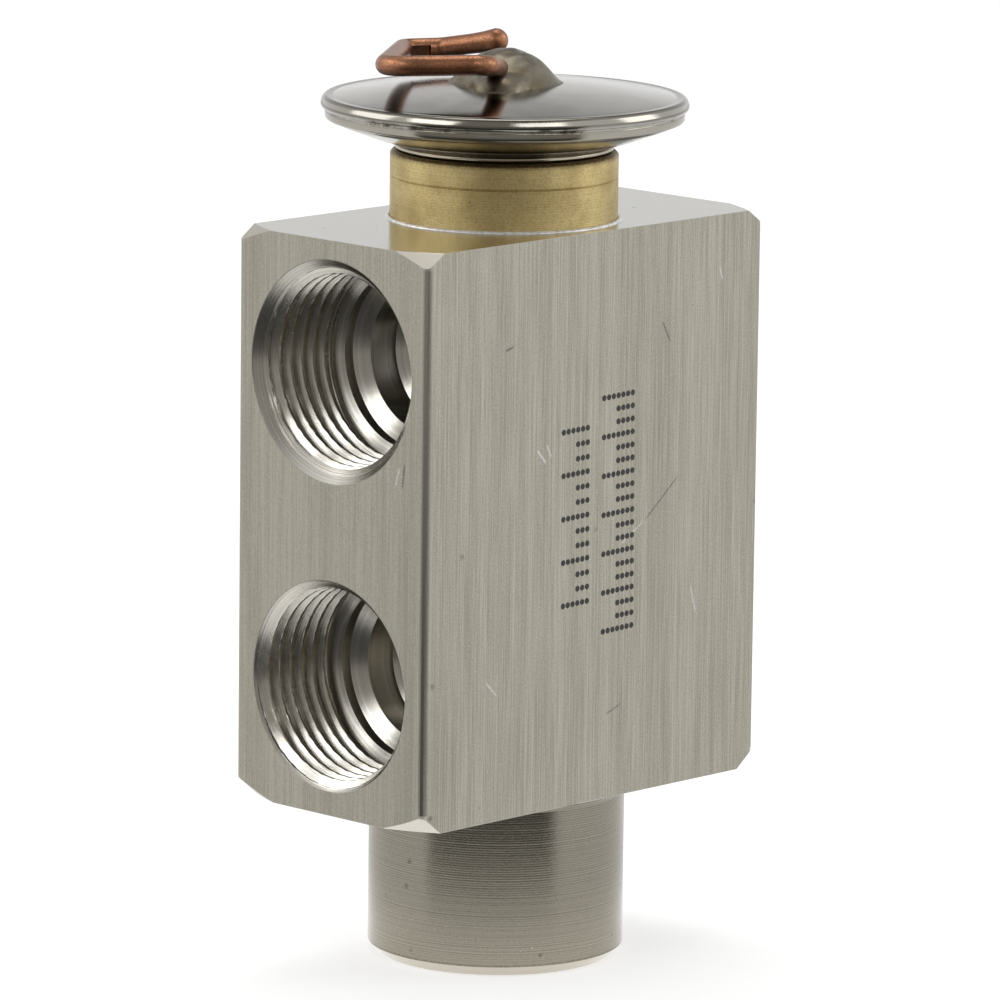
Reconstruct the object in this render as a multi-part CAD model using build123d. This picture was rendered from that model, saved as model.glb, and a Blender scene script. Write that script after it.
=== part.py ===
from build123d import *
from math import asin, cos, radians, sin, sqrt, tan
import os

# Block-type thermostatic expansion valve.
# Row frame, millimetres: +Z runs up the valve axis, X runs along the flow passages,
# and the origin is the middle of the spigot's flat lower end, on which the valve stands.
# The liquid inlet is the low port on the -X face. The outlet to the evaporator is the
# low port on the +X face, and the suction gas crosses between the two upper ports.

# ---------------------------------------------------------------- sizes: aluminium body
block_depth = 46.1              # along X, between the two port faces
block_thickness = 25.4          # along Y, the width of the extruded bar
block_edge_radius = 0.75        # rounded edges of the extruded bar
top_corner_cut = 1.87           # how far the lathe's top bevel reaches in from the bar's corners
top_bevel_angle = 39.0
under_corner_cut = 2.12         # the same at the underside
under_bevel_angle = 42.5
spigot_radius = 12.4
spigot_length = 16.7
spigot_chamfer = 1.0
spigot_root_radius = 0.6

# ---------------------------------------------------------------- sizes: ports
thread_radius = 10.0            # nominal radius of the port thread
thread_depth = 9.6
pilot_radius = 8.6              # smooth pilot bore behind the thread
pilot_depth = 11.4
throat_radius = 7.1
throat_depth = 15.7
throat_bevel = 1.0              # bevel at the bottom of the lower ports' throats
drill_point_angle = 118.0
upper_mouth_radius = 10.72      # the countersunk mouths of the upper ports
lower_mouth_radius = 10.22
inlet_port_height = 12.5        # inlet's axis above the block's underside
outlet_port_rise = 5.5          # outlet's axis above the inlet's
upper_port_rise = 30.16         # suction ports' axis above the inlet's
top_over_port = 12.54           # block's top above the suction ports' axis
suction_passage_radius = 5.5
inlet_drill_radius = 3.0
outlet_drill_radius = 3.3
outlet_drill_overrun = 4.4      # how far the outlet drilling runs past the valve axis

# ---------------------------------------------------------------- sizes: metering parts
chamber_radius = 6.0
seat_radius = 4.2
seat_height = 2.6
orifice_radius = 1.7
seat_lead_in = 0.3
seat_ledge = 0.6                # body metal between the seat and the outlet drilling
seat_exit_radius = 2.8          # bore through that ledge
ball_radius = 2.5
pin_radius = 1.2
pin_socket_depth = 3.0
holder_radius = 3.7
holder_flange_radius = 5.0
holder_flange_thickness = 1.1
holder_rim_height = 0.5         # how far the cup stands above the line the ball rests on
damper_thickness = 0.3
damper_leaves = 8
damper_leaf_width = 1.3
stem_stroke = 0.6

# ---------------------------------------------------------------- sizes: superheat adjustment
adjuster_bore_radius = 7.0
adjuster_bore_depth = 14.0
adjuster_screw_length = 7.8
adjuster_travel = 1.0           # either way from the factory setting
hex_across_flats = 6.0
hex_depth = 4.2
screw_chamfer = 0.5
spring_wire_radius = 0.55
spring_mean_radius = 4.0
spring_pitch = 2.3
spring_seat_thickness = 1.2
spring_seat_radius = 5.6
spring_register_length = 1.6    # plain nose that centres an end of the spring
retainer_clip_thickness = 0.8
retainer_clip_radius = 6.0      # inner radius of the clip
retainer_clip_depth = 1.1       # of its groove, above the spigot's lower end
retainer_groove_radius = 7.6
retainer_clip_opening = 50.0    # degrees between the clip's ends
clip_hole_radius = 0.45

# ---------------------------------------------------------------- sizes: sensing rod and seals
sensing_rod_radius = 3.4
sensing_rod_tenon_radius = 2.3
seal_pocket_radius = 4.0
seal_pocket_depth = 4.2
pin_seal_section = 1.8
seal_retainer_thickness = 0.6
guide_hole_radius = 4.5
guide_flange_radius = 5.7
guide_flange_thickness = 0.8
guide_slots = 4
guide_slot_width = 1.5
screw_seal_section = 1.24
collar_seal_section = 1.2

# ---------------------------------------------------------------- sizes: power head
head_bore_radius = 9.0
head_bore_depth = 4.0
collar_radius = 10.95
collar_height = 6.55
collar_thread_length = 3.5
collar_bore_radius = 6.5
collar_edge_chamfer = 0.35
collar_groove_drop = 2.5        # scribed line below the collar's top edge
collar_groove_depth = 0.14
collar_seating_depth = 0.2      # spot face that the collar sits in
neck_radius = 9.6
neck_engagement = 3.25          # length of the neck inside the collar
neck_flare = 0.85
neck_show = 0.4                 # height of the neck between the collar and the cone
shell_thickness = 0.8
base_cone_angle = 21.0
flange_rise = 0.26
flange_thickness = 0.9
diaphragm_thickness = 0.2
diaphragm_wave_height = 0.45
diaphragm_wave_width = 3.4
diaphragm_wave_margin = 0.6     # flat ring between the wave and the shells
rim_radius = 17.67
rim_half_height = 0.62
rim_roll = 1.47                 # width of the rolled rim, outside the crown and the cone
rim_lap = 0.42                  # how far the rim stands out past the flange
cover_crown = 1.4
plate_margin = 1.2              # between the plate and the diaphragm's wave
plate_thickness = 1.4
plate_hub_radius = 5.0
plate_hub_length = 3.0

# ---------------------------------------------------------------- sizes: charge tube and solder
tube_radius = 1.0
tube_turn = -45.7               # the loop's own frame, turned about the valve axis
tube_bend_radius = 1.7
tube_height = 4.05              # height of the front leg above the edge of the cover's crown
tube_front = 9.3                # how far the front leg lies before the axis
tube_back = 12.2                # how far the rear leg lies behind the axis
tube_left = 11.6
tube_bead_radius = 1.2
pinch_width = 2.0
pinch_depth = 0.62
pinch_height = 1.25
dome_radius = 5.2
dome_height = 3.05
dome_skirt = 0.45
lobe_reach = 7.4                # solder run out along the tube, from the axis
lobe_half_width = 3.6
lobe_height = 1.75

# ---------------------------------------------------------------- clearances
seated_gap = 0.02               # between parts that touch or are pressed together
running_gap = 0.05              # radial gap round a part that slides or turns
lift_gap = 0.08                 # between the ball and the orifice edge when shut
thread_gap = 0.03               # between the plain forms of two mating threads
rest_gap = 0.05                 # flat gap between pieces on different bodies
stop_gap = 0.3                  # left at the end of a travel

# ---------------------------------------------------------------- heights worked out from the sizes
underside_z = spigot_length
inlet_port_z = underside_z + inlet_port_height
outlet_port_z = inlet_port_z + outlet_port_rise
upper_port_z = inlet_port_z + upper_port_rise
block_top_z = upper_port_z + top_over_port
port_face_x = block_depth / 2
seat_top_z = outlet_port_z - outlet_drill_radius - seat_ledge
chamber_top_z = seat_top_z - seat_height
inlet_drill_z = chamber_top_z - inlet_drill_radius - 0.6
ball_z = chamber_top_z - sqrt(ball_radius**2 - orifice_radius**2) - lift_gap
ball_rest_drop = ball_radius / sqrt(2)          # ball centre down to its line on a 90 degree cup
holder_top_z = ball_z - ball_rest_drop + holder_rim_height
holder_flange_z = ball_z - ball_radius * sqrt(2) - holder_flange_thickness
clip_bottom_z = retainer_clip_depth + running_gap
clip_top_z = clip_bottom_z + retainer_clip_thickness
screw_bottom_z = clip_top_z + stop_gap + adjuster_travel
screw_top_z = screw_bottom_z + adjuster_screw_length
spring_seat_z = screw_top_z + rest_gap
spring_bottom_z = spring_seat_z + spring_seat_thickness
spring_top_z = holder_flange_z
passage_floor_z = upper_port_z - suction_passage_radius
passage_roof_z = upper_port_z + suction_passage_radius
seal_pocket_z = passage_floor_z - seal_pocket_depth
seal_retainer_z = seal_pocket_z + pin_seal_section + seated_gap
rod_bottom_z = seal_retainer_z + seal_retainer_thickness + stem_stroke + stop_gap
head_floor_z = block_top_z - head_bore_depth
collar_top_z = block_top_z + collar_height
collar_bottom_z = block_top_z - collar_thread_length
neck_bottom_z = collar_top_z - neck_engagement
knee_z = collar_top_z + neck_show
knee_radius = neck_radius + neck_flare
flange_radius = rim_radius - rim_lap
cover_edge_radius = rim_radius - rim_roll      # where the crowned top runs into the rim
base_cone_radius = rim_radius - rim_roll
shell_inner_radius = base_cone_radius - shell_thickness
wave_start_radius = shell_inner_radius - diaphragm_wave_margin - diaphragm_wave_width
plate_radius = wave_start_radius - plate_margin
cone_rise = tan(radians(base_cone_angle))
cone_end_z = knee_z + (base_cone_radius - knee_radius) * cone_rise
diaphragm_z = cone_end_z + flange_rise + flange_thickness
rim_bottom_z = diaphragm_z + diaphragm_thickness
rim_middle_z = rim_bottom_z + rim_half_height
cover_edge_z = rim_middle_z + rim_half_height
cover_crown_z = cover_edge_z + cover_crown
crown_radius = (cover_edge_radius**2 + cover_crown**2) / (2 * cover_crown)
plate_top_z = diaphragm_z - rest_gap
plate_bottom_z = plate_top_z - plate_thickness
hub_bottom_z = plate_bottom_z - plate_hub_length
tenon_top_z = plate_bottom_z + plate_thickness / 2


def crown_height(radius):
    """Height of the cover's crowned top at a distance from the axis."""
    return cover_crown_z - crown_radius + sqrt(crown_radius**2 - radius**2)


def turned(points):
    """Solid of revolution about the valve axis from (radius, height) points."""
    outline = Polyline(*[(radius, 0, height) for radius, height in points], close=True)
    return revolve(make_face(outline), axis=Axis.Z)


def tube_between(outer, inner, low, high):
    """Plain ring about the valve axis."""
    return turned([(inner, low), (outer, low), (outer, high), (inner, high)])


def o_ring(mean_radius, section, height):
    """Rubber ring of round section about the valve axis."""
    return Pos(0, 0, height) * Torus(mean_radius, section / 2)


def port_cutter(height, mouth_radius, side, drill_radius):
    """Void of one port: countersink, thread, run-out, pilot, drill shoulder and throat.

    side is -1 for the port on the -X face and +1 for the port on the +X face.
    """
    point = 1 / tan(radians(drill_point_angle / 2))
    run_out = thread_radius - pilot_radius
    shoulder = (pilot_radius - throat_radius) * point
    tip = (throat_radius - drill_radius) * point
    profile = [
        (-1.0, 0),
        (-1.0, mouth_radius),
        (0, mouth_radius),
        (mouth_radius - thread_radius, thread_radius),
        (thread_depth, thread_radius),
        (thread_depth + run_out / 2, pilot_radius),
        (pilot_depth, pilot_radius),
        (pilot_depth + shoulder, throat_radius),
        (throat_depth, throat_radius),
        (throat_depth + tip, drill_radius),
        (throat_depth + tip, 0),
    ]
    outline = Polyline(
        *[(side * (port_face_x - depth), 0, radius) for depth, radius in profile], close=True
    )
    return Pos(0, 0, height) * revolve(make_face(outline), axis=Axis.X)


def cross_drill(height, radius, start_x, end_x):
    """Void of a drilling along X."""
    length = end_x - start_x
    return Pos((start_x + end_x) / 2, 0, height) * Rot(0, 90, 0) * Cylinder(radius, length)


# ---------------------------------------------------------------- valve body
def make_valve_body():
    """Length of extruded bar, turned at both ends, then bored from five sides."""
    bar = Rectangle(block_depth, block_thickness)
    bar = fillet(bar.vertices(), block_edge_radius)
    bar = extrude(bar, block_top_z)

    # The envelope left by the lathe: spigot, underside, and the bevels at both ends.
    corner_radius = sqrt(block_depth**2 + block_thickness**2) / 2
    swing = corner_radius + 1.0
    top_turned_radius = corner_radius - top_corner_cut
    under_turned_radius = corner_radius - under_corner_cut
    top_bevel = (swing - top_turned_radius) * tan(radians(top_bevel_angle))
    under_bevel = (swing - under_turned_radius) * tan(radians(under_bevel_angle))
    root_z = underside_z - spigot_root_radius
    arc_mid = spigot_root_radius * (1 - cos(radians(45)))
    with BuildPart() as lathe:
        with BuildSketch(Plane.XZ):
            with BuildLine():
                Polyline((0, block_top_z), (0, 0), (spigot_radius - spigot_chamfer, 0),
                         (spigot_radius, spigot_chamfer), (spigot_radius, root_z))
                ThreePointArc(
                    (spigot_radius, root_z),
                    (spigot_radius + arc_mid, underside_z - arc_mid),
                    (spigot_radius + spigot_root_radius, underside_z),
                )
                Polyline((spigot_radius + spigot_root_radius, underside_z),
                         (under_turned_radius, underside_z),
                         (swing, underside_z + under_bevel),
                         (swing, block_top_z - top_bevel),
                         (top_turned_radius, block_top_z),
                         (0, block_top_z))
            make_face()
        revolve(axis=Axis.Z)
    body = bar & lathe.part

    # Flow ports and the drillings behind them.
    for side in (-1, 1):
        body -= port_cutter(upper_port_z, upper_mouth_radius, side, suction_passage_radius / 2)
    throat_end_x = port_face_x - throat_depth
    body -= cross_drill(upper_port_z, suction_passage_radius, -throat_end_x - 1.0,
                        throat_end_x + 1.0)
    body -= port_cutter(inlet_port_z, lower_mouth_radius, -1, throat_radius - throat_bevel)
    body -= cross_drill(inlet_drill_z, inlet_drill_radius, -throat_end_x - 1.0, 0)
    body -= port_cutter(outlet_port_z, lower_mouth_radius, 1, throat_radius - throat_bevel)
    body -= cross_drill(outlet_port_z, outlet_drill_radius, -outlet_drill_overrun,
                        throat_end_x + 1.0)

    # Bores on the valve axis, from the spigot's end up to the power head.
    groove_top_z = clip_top_z + running_gap
    seat_exit_top_z = outlet_port_z - outlet_drill_radius / 4
    lead_in = spigot_chamfer / 2
    body -= turned([
        (0, -1),
        (adjuster_bore_radius + lead_in, -1),
        (adjuster_bore_radius + lead_in, 0),
        (adjuster_bore_radius, lead_in),
        (adjuster_bore_radius, retainer_clip_depth),
        (retainer_groove_radius, retainer_clip_depth),
        (retainer_groove_radius, groove_top_z),
        (adjuster_bore_radius, groove_top_z),
        (adjuster_bore_radius, adjuster_bore_depth),
        (chamber_radius, adjuster_bore_depth + adjuster_bore_radius - chamber_radius),
        (chamber_radius, chamber_top_z),
        (seat_radius, chamber_top_z),
        (seat_radius, seat_top_z),
        (seat_exit_radius, seat_top_z),
        (seat_exit_radius, seat_exit_top_z),
        (pin_radius + running_gap, seat_exit_top_z),
        (pin_radius + running_gap, seal_pocket_z),
        (seal_pocket_radius, seal_pocket_z),
        (seal_pocket_radius, passage_floor_z + 1.0),
        (guide_hole_radius, passage_roof_z - 1.0),
        (guide_hole_radius, head_floor_z),
        (head_bore_radius, head_floor_z),
        (head_bore_radius, block_top_z - collar_seating_depth - collar_seal_section - 0.15),
        (head_bore_radius + collar_seal_section + running_gap,
         block_top_z - collar_seating_depth - collar_seal_section - 0.15),
        (head_bore_radius + collar_seal_section + running_gap, block_top_z - collar_seating_depth),
        (collar_radius + 0.15, block_top_z - collar_seating_depth),
        (collar_radius + 0.3, block_top_z + 0.05),
        (collar_radius + 0.3, block_top_z + 1),
        (0, block_top_z + 1),
    ])
    return body


# ---------------------------------------------------------------- metering parts
def make_orifice_seat():
    """Pressed-in steel ring whose lower edge the ball closes."""
    outer = seat_radius - seated_gap
    return turned([
        (orifice_radius, chamber_top_z),
        (outer - seat_lead_in, chamber_top_z),
        (outer, chamber_top_z + seat_lead_in),
        (outer, seat_top_z - seat_lead_in),
        (outer - seat_lead_in, seat_top_z),
        (orifice_radius + seat_lead_in, seat_top_z),
        (orifice_radius, seat_top_z - seat_lead_in),
    ])


def make_valve_ball():
    """Steel bearing ball."""
    return Pos(0, 0, ball_z) * Sphere(ball_radius)


def make_push_pin():
    """Ground pin that carries the rod's travel through the seal to the ball."""
    low = ball_z + ball_radius + seated_gap
    high = rod_bottom_z + pin_socket_depth - seated_gap
    pin = Pos(0, 0, (low + high) / 2) * Cylinder(pin_radius, high - low)
    return chamfer(pin.edges().filter_by(GeomType.CIRCLE), pin_radius / 5)


def make_ball_holder():
    """Turned cup under the ball, with a flange and nose for the spring."""
    cup_radius = ball_rest_drop + holder_rim_height + seated_gap
    floor_radius = ball_radius / 4
    floor_z = ball_z - ball_radius * sqrt(2) + floor_radius - seated_gap
    nose_radius = spring_mean_radius - spring_wire_radius - running_gap
    nose_z = holder_flange_z - spring_register_length
    return turned([
        (0, nose_z),
        (nose_radius - 0.3, nose_z),
        (nose_radius, nose_z + 0.3),
        (nose_radius, holder_flange_z),
        (holder_flange_radius, holder_flange_z),
        (holder_flange_radius, holder_flange_z + holder_flange_thickness),
        (holder_radius, holder_flange_z + holder_flange_thickness),
        (holder_radius, holder_top_z - 0.2),
        (holder_radius - 0.2, holder_top_z),
        (cup_radius, holder_top_z),
        (floor_radius, floor_z),
        (0, floor_z),
    ])


def make_damper_ring():
    """Star-shaped leaf ring on the holder, which rubs the chamber wall and stops chatter."""
    low = holder_flange_z + holder_flange_thickness + seated_gap
    inner = holder_radius + seated_gap
    ring = tube_between(inner + 0.7, inner, low, low + damper_thickness)
    reach = chamber_radius - running_gap
    blank = tube_between(reach, inner + 0.1, low, low + damper_thickness)
    length = reach + 1.0
    for index in range(damper_leaves):
        leaf = Pos(length / 2, 0, low + damper_thickness / 2)
        leaf = Rot(0, 0, index * 360 / damper_leaves) * leaf
        ring += blank & (leaf * Box(length, damper_leaf_width, damper_thickness))
    return ring


# ---------------------------------------------------------------- superheat adjustment
def make_superheat_spring():
    """Round-wire compression spring with both ends ground flat."""
    bottom = spring_bottom_z + seated_gap
    top = spring_top_z - seated_gap
    coil_height = top - bottom
    path = Helix(spring_pitch, coil_height, spring_mean_radius)
    section = Plane(origin=path @ 0, z_dir=path % 0) * Circle(spring_wire_radius)
    coil = Pos(0, 0, bottom) * sweep(section, path=path, is_frenet=True)
    size = 4 * spring_mean_radius
    middle = Pos(0, 0, (bottom + top) / 2)
    return coil & (middle * Box(size, size, coil_height))


def make_spring_seat():
    """Plain steel washer with a nose, between the spring and the screw."""
    nose_radius = spring_mean_radius - spring_wire_radius - running_gap
    nose_z = spring_bottom_z + spring_register_length
    return turned([
        (0, spring_seat_z),
        (spring_seat_radius - 0.3, spring_seat_z),
        (spring_seat_radius, spring_seat_z + 0.3),
        (spring_seat_radius, spring_bottom_z),
        (nose_radius, spring_bottom_z),
        (nose_radius, nose_z - 0.3),
        (nose_radius - 0.3, nose_z),
        (0, nose_z),
    ])


def make_adjusting_screw():
    """Socket screw that sets the spring, with a groove for its rubber ring."""
    outer = adjuster_bore_radius - running_gap
    groove = outer - screw_seal_section - seated_gap
    groove_top = screw_top_z - 1.0
    groove_bottom = groove_top - screw_seal_section - 0.2
    screw = turned([
        (0, screw_bottom_z),
        (outer - screw_chamfer, screw_bottom_z),
        (outer, screw_bottom_z + screw_chamfer),
        (outer, groove_bottom),
        (groove, groove_bottom),
        (groove, groove_top),
        (outer, groove_top),
        (outer, screw_top_z - screw_chamfer),
        (outer - screw_chamfer, screw_top_z),
        (0, screw_top_z),
    ])
    socket = extrude(RegularPolygon(hex_across_flats / 2, 6, major_radius=False), hex_depth)
    return screw - Pos(0, 0, screw_bottom_z) * socket


def make_screw_seal():
    """Rubber ring in the screw's groove."""
    outer = adjuster_bore_radius - running_gap
    height = screw_top_z - 1.1 - screw_seal_section / 2
    return o_ring(outer - screw_seal_section / 2, screw_seal_section, height)


def make_retaining_clip():
    """Open spring clip that keeps the screw in the spigot."""
    outer = retainer_groove_radius - seated_gap
    clip = tube_between(outer, retainer_clip_radius, clip_bottom_z, clip_top_z)
    half = radians(retainer_clip_opening / 2)
    reach = 2 * retainer_groove_radius
    gap = Polyline((0, 0), (reach * cos(half), reach * sin(half)),
                   (reach * cos(half), -reach * sin(half)), close=True)
    clip -= Pos(0, 0, clip_bottom_z) * extrude(make_face(gap), retainer_clip_thickness)
    ear_radius = (outer + retainer_clip_radius) / 2
    for sign in (-1, 1):
        angle = sign * (half + 1.6 * clip_hole_radius / ear_radius)
        centre = Pos(ear_radius * cos(angle), ear_radius * sin(angle), clip_bottom_z)
        hole = Cylinder(clip_hole_radius, 3 * retainer_clip_thickness)
        clip -= centre * hole
    return clip


# ---------------------------------------------------------------- sensing rod and seals
def make_sensing_rod():
    """Aluminium rod across the suction passage, with a tenon for the plate."""
    tenon = sensing_rod_tenon_radius
    socket = pin_radius + seated_gap
    return turned([
        (socket, rod_bottom_z),
        (sensing_rod_radius - 0.4, rod_bottom_z),
        (sensing_rod_radius, rod_bottom_z + 0.4),
        (sensing_rod_radius, hub_bottom_z - seated_gap),
        (tenon, hub_bottom_z - seated_gap),
        (tenon, tenon_top_z - seated_gap - 0.3),
        (tenon - 0.3, tenon_top_z - seated_gap),
        (0, tenon_top_z - seated_gap),
        (0, rod_bottom_z + pin_socket_depth),
        (socket, rod_bottom_z + pin_socket_depth),
    ])


def make_pin_seal():
    """Rubber ring round the push pin, at the bottom of its pocket."""
    inner = pin_radius + running_gap
    mean = inner + pin_seal_section / 2
    return o_ring(mean, pin_seal_section, seal_pocket_z + pin_seal_section / 2)


def make_seal_retainer():
    """Steel washer pressed into the pocket over the rubber ring."""
    return tube_between(seal_pocket_radius - seated_gap, pin_radius + 0.4,
                        seal_retainer_z, seal_retainer_z + seal_retainer_thickness)


def make_rod_guide():
    """Flanged plastic bush, slotted so that suction pressure reaches the diaphragm."""
    inner = sensing_rod_radius + running_gap
    outer = guide_hole_radius - seated_gap
    flange_top_z = head_floor_z + guide_flange_thickness
    bush = turned([
        (inner, passage_roof_z),
        (outer, passage_roof_z),
        (outer, head_floor_z),
        (guide_flange_radius, head_floor_z),
        (guide_flange_radius, flange_top_z),
        (inner, flange_top_z),
    ])
    height = flange_top_z - passage_roof_z + 2
    slot_depth = (outer - inner) / 2
    for index in range(guide_slots):
        slot = Pos(guide_flange_radius + inner + slot_depth, 0, (flange_top_z + passage_roof_z) / 2)
        slot = Rot(0, 0, 45 + index * 360 / guide_slots) * slot
        bush -= slot * Box(2 * guide_flange_radius, guide_slot_width, height)
    return bush


# ---------------------------------------------------------------- power head
def make_head_collar():
    """Turned brass collar: a threaded nose in the body and a socket for the head's neck."""
    groove_z = collar_top_z - collar_groove_drop
    seat_z = block_top_z - collar_seating_depth
    nose = head_bore_radius - thread_gap
    socket = neck_radius + running_gap
    return turned([
        (collar_bore_radius, collar_bottom_z),
        (nose - 0.4, collar_bottom_z),
        (nose, collar_bottom_z + 0.4),
        (nose, seat_z),
        (collar_radius - 0.15, seat_z),
        (collar_radius, seat_z + 0.15),
        (collar_radius, groove_z - collar_groove_depth),
        (collar_radius - collar_groove_depth, groove_z),
        (collar_radius, groove_z + collar_groove_depth),
        (collar_radius, collar_top_z - collar_edge_chamfer),
        (collar_radius - collar_edge_chamfer, collar_top_z),
        (socket + 0.3, collar_top_z),
        (socket, collar_top_z - 0.3),
        (socket, neck_bottom_z),
        (collar_bore_radius, neck_bottom_z),
    ])


def make_collar_seal():
    """Rubber ring under the collar's shoulder."""
    mean = head_bore_radius + running_gap / 2 + collar_seal_section / 2
    height = block_top_z - collar_seating_depth - seated_gap - collar_seal_section / 2
    return o_ring(mean, collar_seal_section, height)


def make_head_base():
    """Pressed lower shell: flange, cone and neck drawn from one disc."""
    skin = shell_thickness / cos(radians(base_cone_angle))
    inner_edge = shell_inner_radius
    inner_edge_z = knee_z + (inner_edge - knee_radius) * cone_rise + skin
    throat = knee_radius - shell_thickness / 2
    throat_z = knee_z + (throat - knee_radius) * cone_rise + skin
    bore = neck_radius - shell_thickness
    flange_low_z = cone_end_z + flange_rise
    return turned([
        (bore, neck_bottom_z + seated_gap),
        (neck_radius, neck_bottom_z + seated_gap),
        (neck_radius, collar_top_z),
        (knee_radius - neck_flare / 4, collar_top_z + neck_show / 3),
        (knee_radius - neck_flare / 4, knee_z - neck_show / 3),
        (knee_radius, knee_z),
        (base_cone_radius, cone_end_z),
        (flange_radius - 0.2, flange_low_z),
        (flange_radius, flange_low_z + 0.2),
        (flange_radius, diaphragm_z),
        (inner_edge, diaphragm_z),
        (inner_edge - 0.2, inner_edge_z),
        (throat, throat_z),
        (bore, throat_z - (throat - bore) / 2),
    ])


def make_diaphragm():
    """Thin steel disc with one ring-shaped wave, clamped between the two shells."""
    low = diaphragm_z
    rise = diaphragm_wave_height
    start = wave_start_radius
    quarter = diaphragm_wave_width / 4
    wave = [
        (start, 0),
        (start + quarter, rise),
        (start + 3 * quarter, rise),
        (start + 4 * quarter, 0),
    ]
    under = [(radius, low + height) for radius, height in wave]
    over = [(radius, low + height + diaphragm_thickness) for radius, height in reversed(wave)]
    edge = flange_radius - seated_gap
    return turned([(0, low)] + under + [(edge, low), (edge, rim_bottom_z)] + over
                  + [(0, rim_bottom_z)])


def make_diaphragm_plate():
    """Turned plate that gathers the diaphragm's travel and passes it to the rod."""
    socket = sensing_rod_tenon_radius + seated_gap
    return turned([
        (socket, hub_bottom_z),
        (plate_hub_radius - 0.3, hub_bottom_z),
        (plate_hub_radius, hub_bottom_z + 0.3),
        (plate_hub_radius, plate_bottom_z),
        (plate_radius - 0.4, plate_bottom_z),
        (plate_radius, plate_bottom_z + 0.4),
        (plate_radius, plate_top_z - 0.4),
        (plate_radius - 0.4, plate_top_z),
        (0, plate_top_z),
        (0, tenon_top_z),
        (socket, tenon_top_z),
    ])


def make_head_cover():
    """Pressed steel cover: crowned top and rolled rim, bored for the charge tube."""
    bore = tube_radius + seated_gap
    inner_edge = shell_inner_radius
    half_angle = asin(cover_edge_radius / crown_radius) / 2
    arc_mid = (crown_radius * sin(half_angle),
               cover_crown_z - crown_radius * (1 - cos(half_angle)))
    rim_shoulder = rim_radius - rim_half_height
    with BuildPart() as cover:
        with BuildSketch(Plane.XZ):
            with BuildLine():
                ThreePointArc((bore, crown_height(bore)), arc_mid,
                              (cover_edge_radius, cover_edge_z))
                Line((cover_edge_radius, cover_edge_z), (rim_shoulder, cover_edge_z))
                ThreePointArc((rim_shoulder, cover_edge_z), (rim_radius, rim_middle_z),
                              (rim_shoulder, rim_bottom_z))
                Polyline((rim_shoulder, rim_bottom_z),
                         (inner_edge, rim_bottom_z),
                         (inner_edge, crown_height(inner_edge) - shell_thickness))
                ThreePointArc((inner_edge, crown_height(inner_edge) - shell_thickness),
                              (arc_mid[0], arc_mid[1] - shell_thickness),
                              (bore, crown_height(bore) - shell_thickness))
                Line((bore, crown_height(bore) - shell_thickness), (bore, crown_height(bore)))
            make_face()
        revolve(axis=Axis.Z)
    return cover.part


# ---------------------------------------------------------------- charge tube and solder
rim_datum_z = cover_edge_z
dome_exit_z = crown_height(0) + 0.8
tube_points = [
    (0, 0, crown_height(0) - shell_thickness),
    (0, 0, dome_exit_z),
    (-1.75, -tube_front, rim_datum_z + tube_height),
    (-tube_left, -tube_front + 0.7, rim_datum_z + tube_height - 0.35),
    (-tube_left + 2.2, tube_back, rim_datum_z + tube_height - 1.25),
    (-6.2, tube_back + 0.8, rim_datum_z + tube_height - 1.2),
    (-0.9, tube_back - 2.4, rim_datum_z + tube_height - 0.05),
]
tube_frame = Rot(0, 0, tube_turn)


def tube_path():
    """Centre line of the charge tube in its own frame: straight runs and tangent bends."""
    radii = [tube_bend_radius] * (len(tube_points) - 2)
    radii[0] = tube_radius * 1.05
    radii[-2] = tube_bend_radius * 0.75
    return FilletPolyline(*tube_points, radius=radii)


def make_charge_tube():
    """Copper charging tube: up through the solder, round in a loop, pinched and beaded."""
    path = tube_path()
    section = Plane(origin=path @ 0, z_dir=path % 0) * Circle(tube_radius)
    tube = sweep(section, path=path)
    tube += Pos(*tube_points[-1]) * Sphere(tube_bead_radius)

    # Flats left by the pinching tool, just after the rear corner of the loop.
    corner = Vector(*tube_points[-3])
    run = (Vector(*tube_points[-2]) - corner).normalized()
    middle = corner + run * (tube_bend_radius + pinch_width / 2)
    for side in (-1, 1):
        jaw_y = side * (tube_radius - pinch_depth + pinch_depth / 2)
        jaw = Box(pinch_width, pinch_depth, pinch_height)
        plane = Plane(origin=middle, x_dir=run, z_dir=(0, 0, 1))
        tube -= plane * (Pos(0, jaw_y, -tube_radius + pinch_height / 2) * jaw)
    return tube_frame * tube


def make_solder_dome():
    """Solder round the tube's root: a crowned blob with a run along the tube."""
    skirt_radius = dome_radius + dome_skirt
    skirt_z = crown_height(skirt_radius)
    base_z = crown_height(dome_radius)
    top_z = base_z + dome_height
    with BuildPart() as blob:
        with BuildSketch(Plane.XZ):
            with BuildLine():
                Line((0, skirt_z - 1.0), (0, top_z))
                ThreePointArc((0, top_z), (dome_radius * 0.57, base_z + dome_height * 0.76),
                              (dome_radius * 0.93, base_z + dome_height * 0.18))
                Polyline((dome_radius * 0.93, base_z + dome_height * 0.18),
                         (skirt_radius, skirt_z), (skirt_radius, skirt_z - 1.0),
                         (0, skirt_z - 1.0))
            make_face()
        revolve(axis=Axis.Z)
    lobe_middle = lobe_reach - lobe_half_width
    lobe_z = crown_height(lobe_middle)
    lobe = Pos(-0.7, -lobe_middle, lobe_z) * scale(Sphere(1), (lobe_half_width, lobe_half_width,
                                                               lobe_height))
    solder = tube_frame * (blob.part + lobe)

    # The solder stops at the cover's crowned top and leaves room for the tube.
    ball_of_cover = Pos(0, 0, cover_crown_z - crown_radius) * Sphere(crown_radius + seated_gap)
    path = tube_path()
    section = Plane(origin=path @ 0, z_dir=path % 0) * Circle(tube_radius + seated_gap)
    channel = tube_frame * sweep(section, path=path)
    return solder - ball_of_cover - channel


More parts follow.
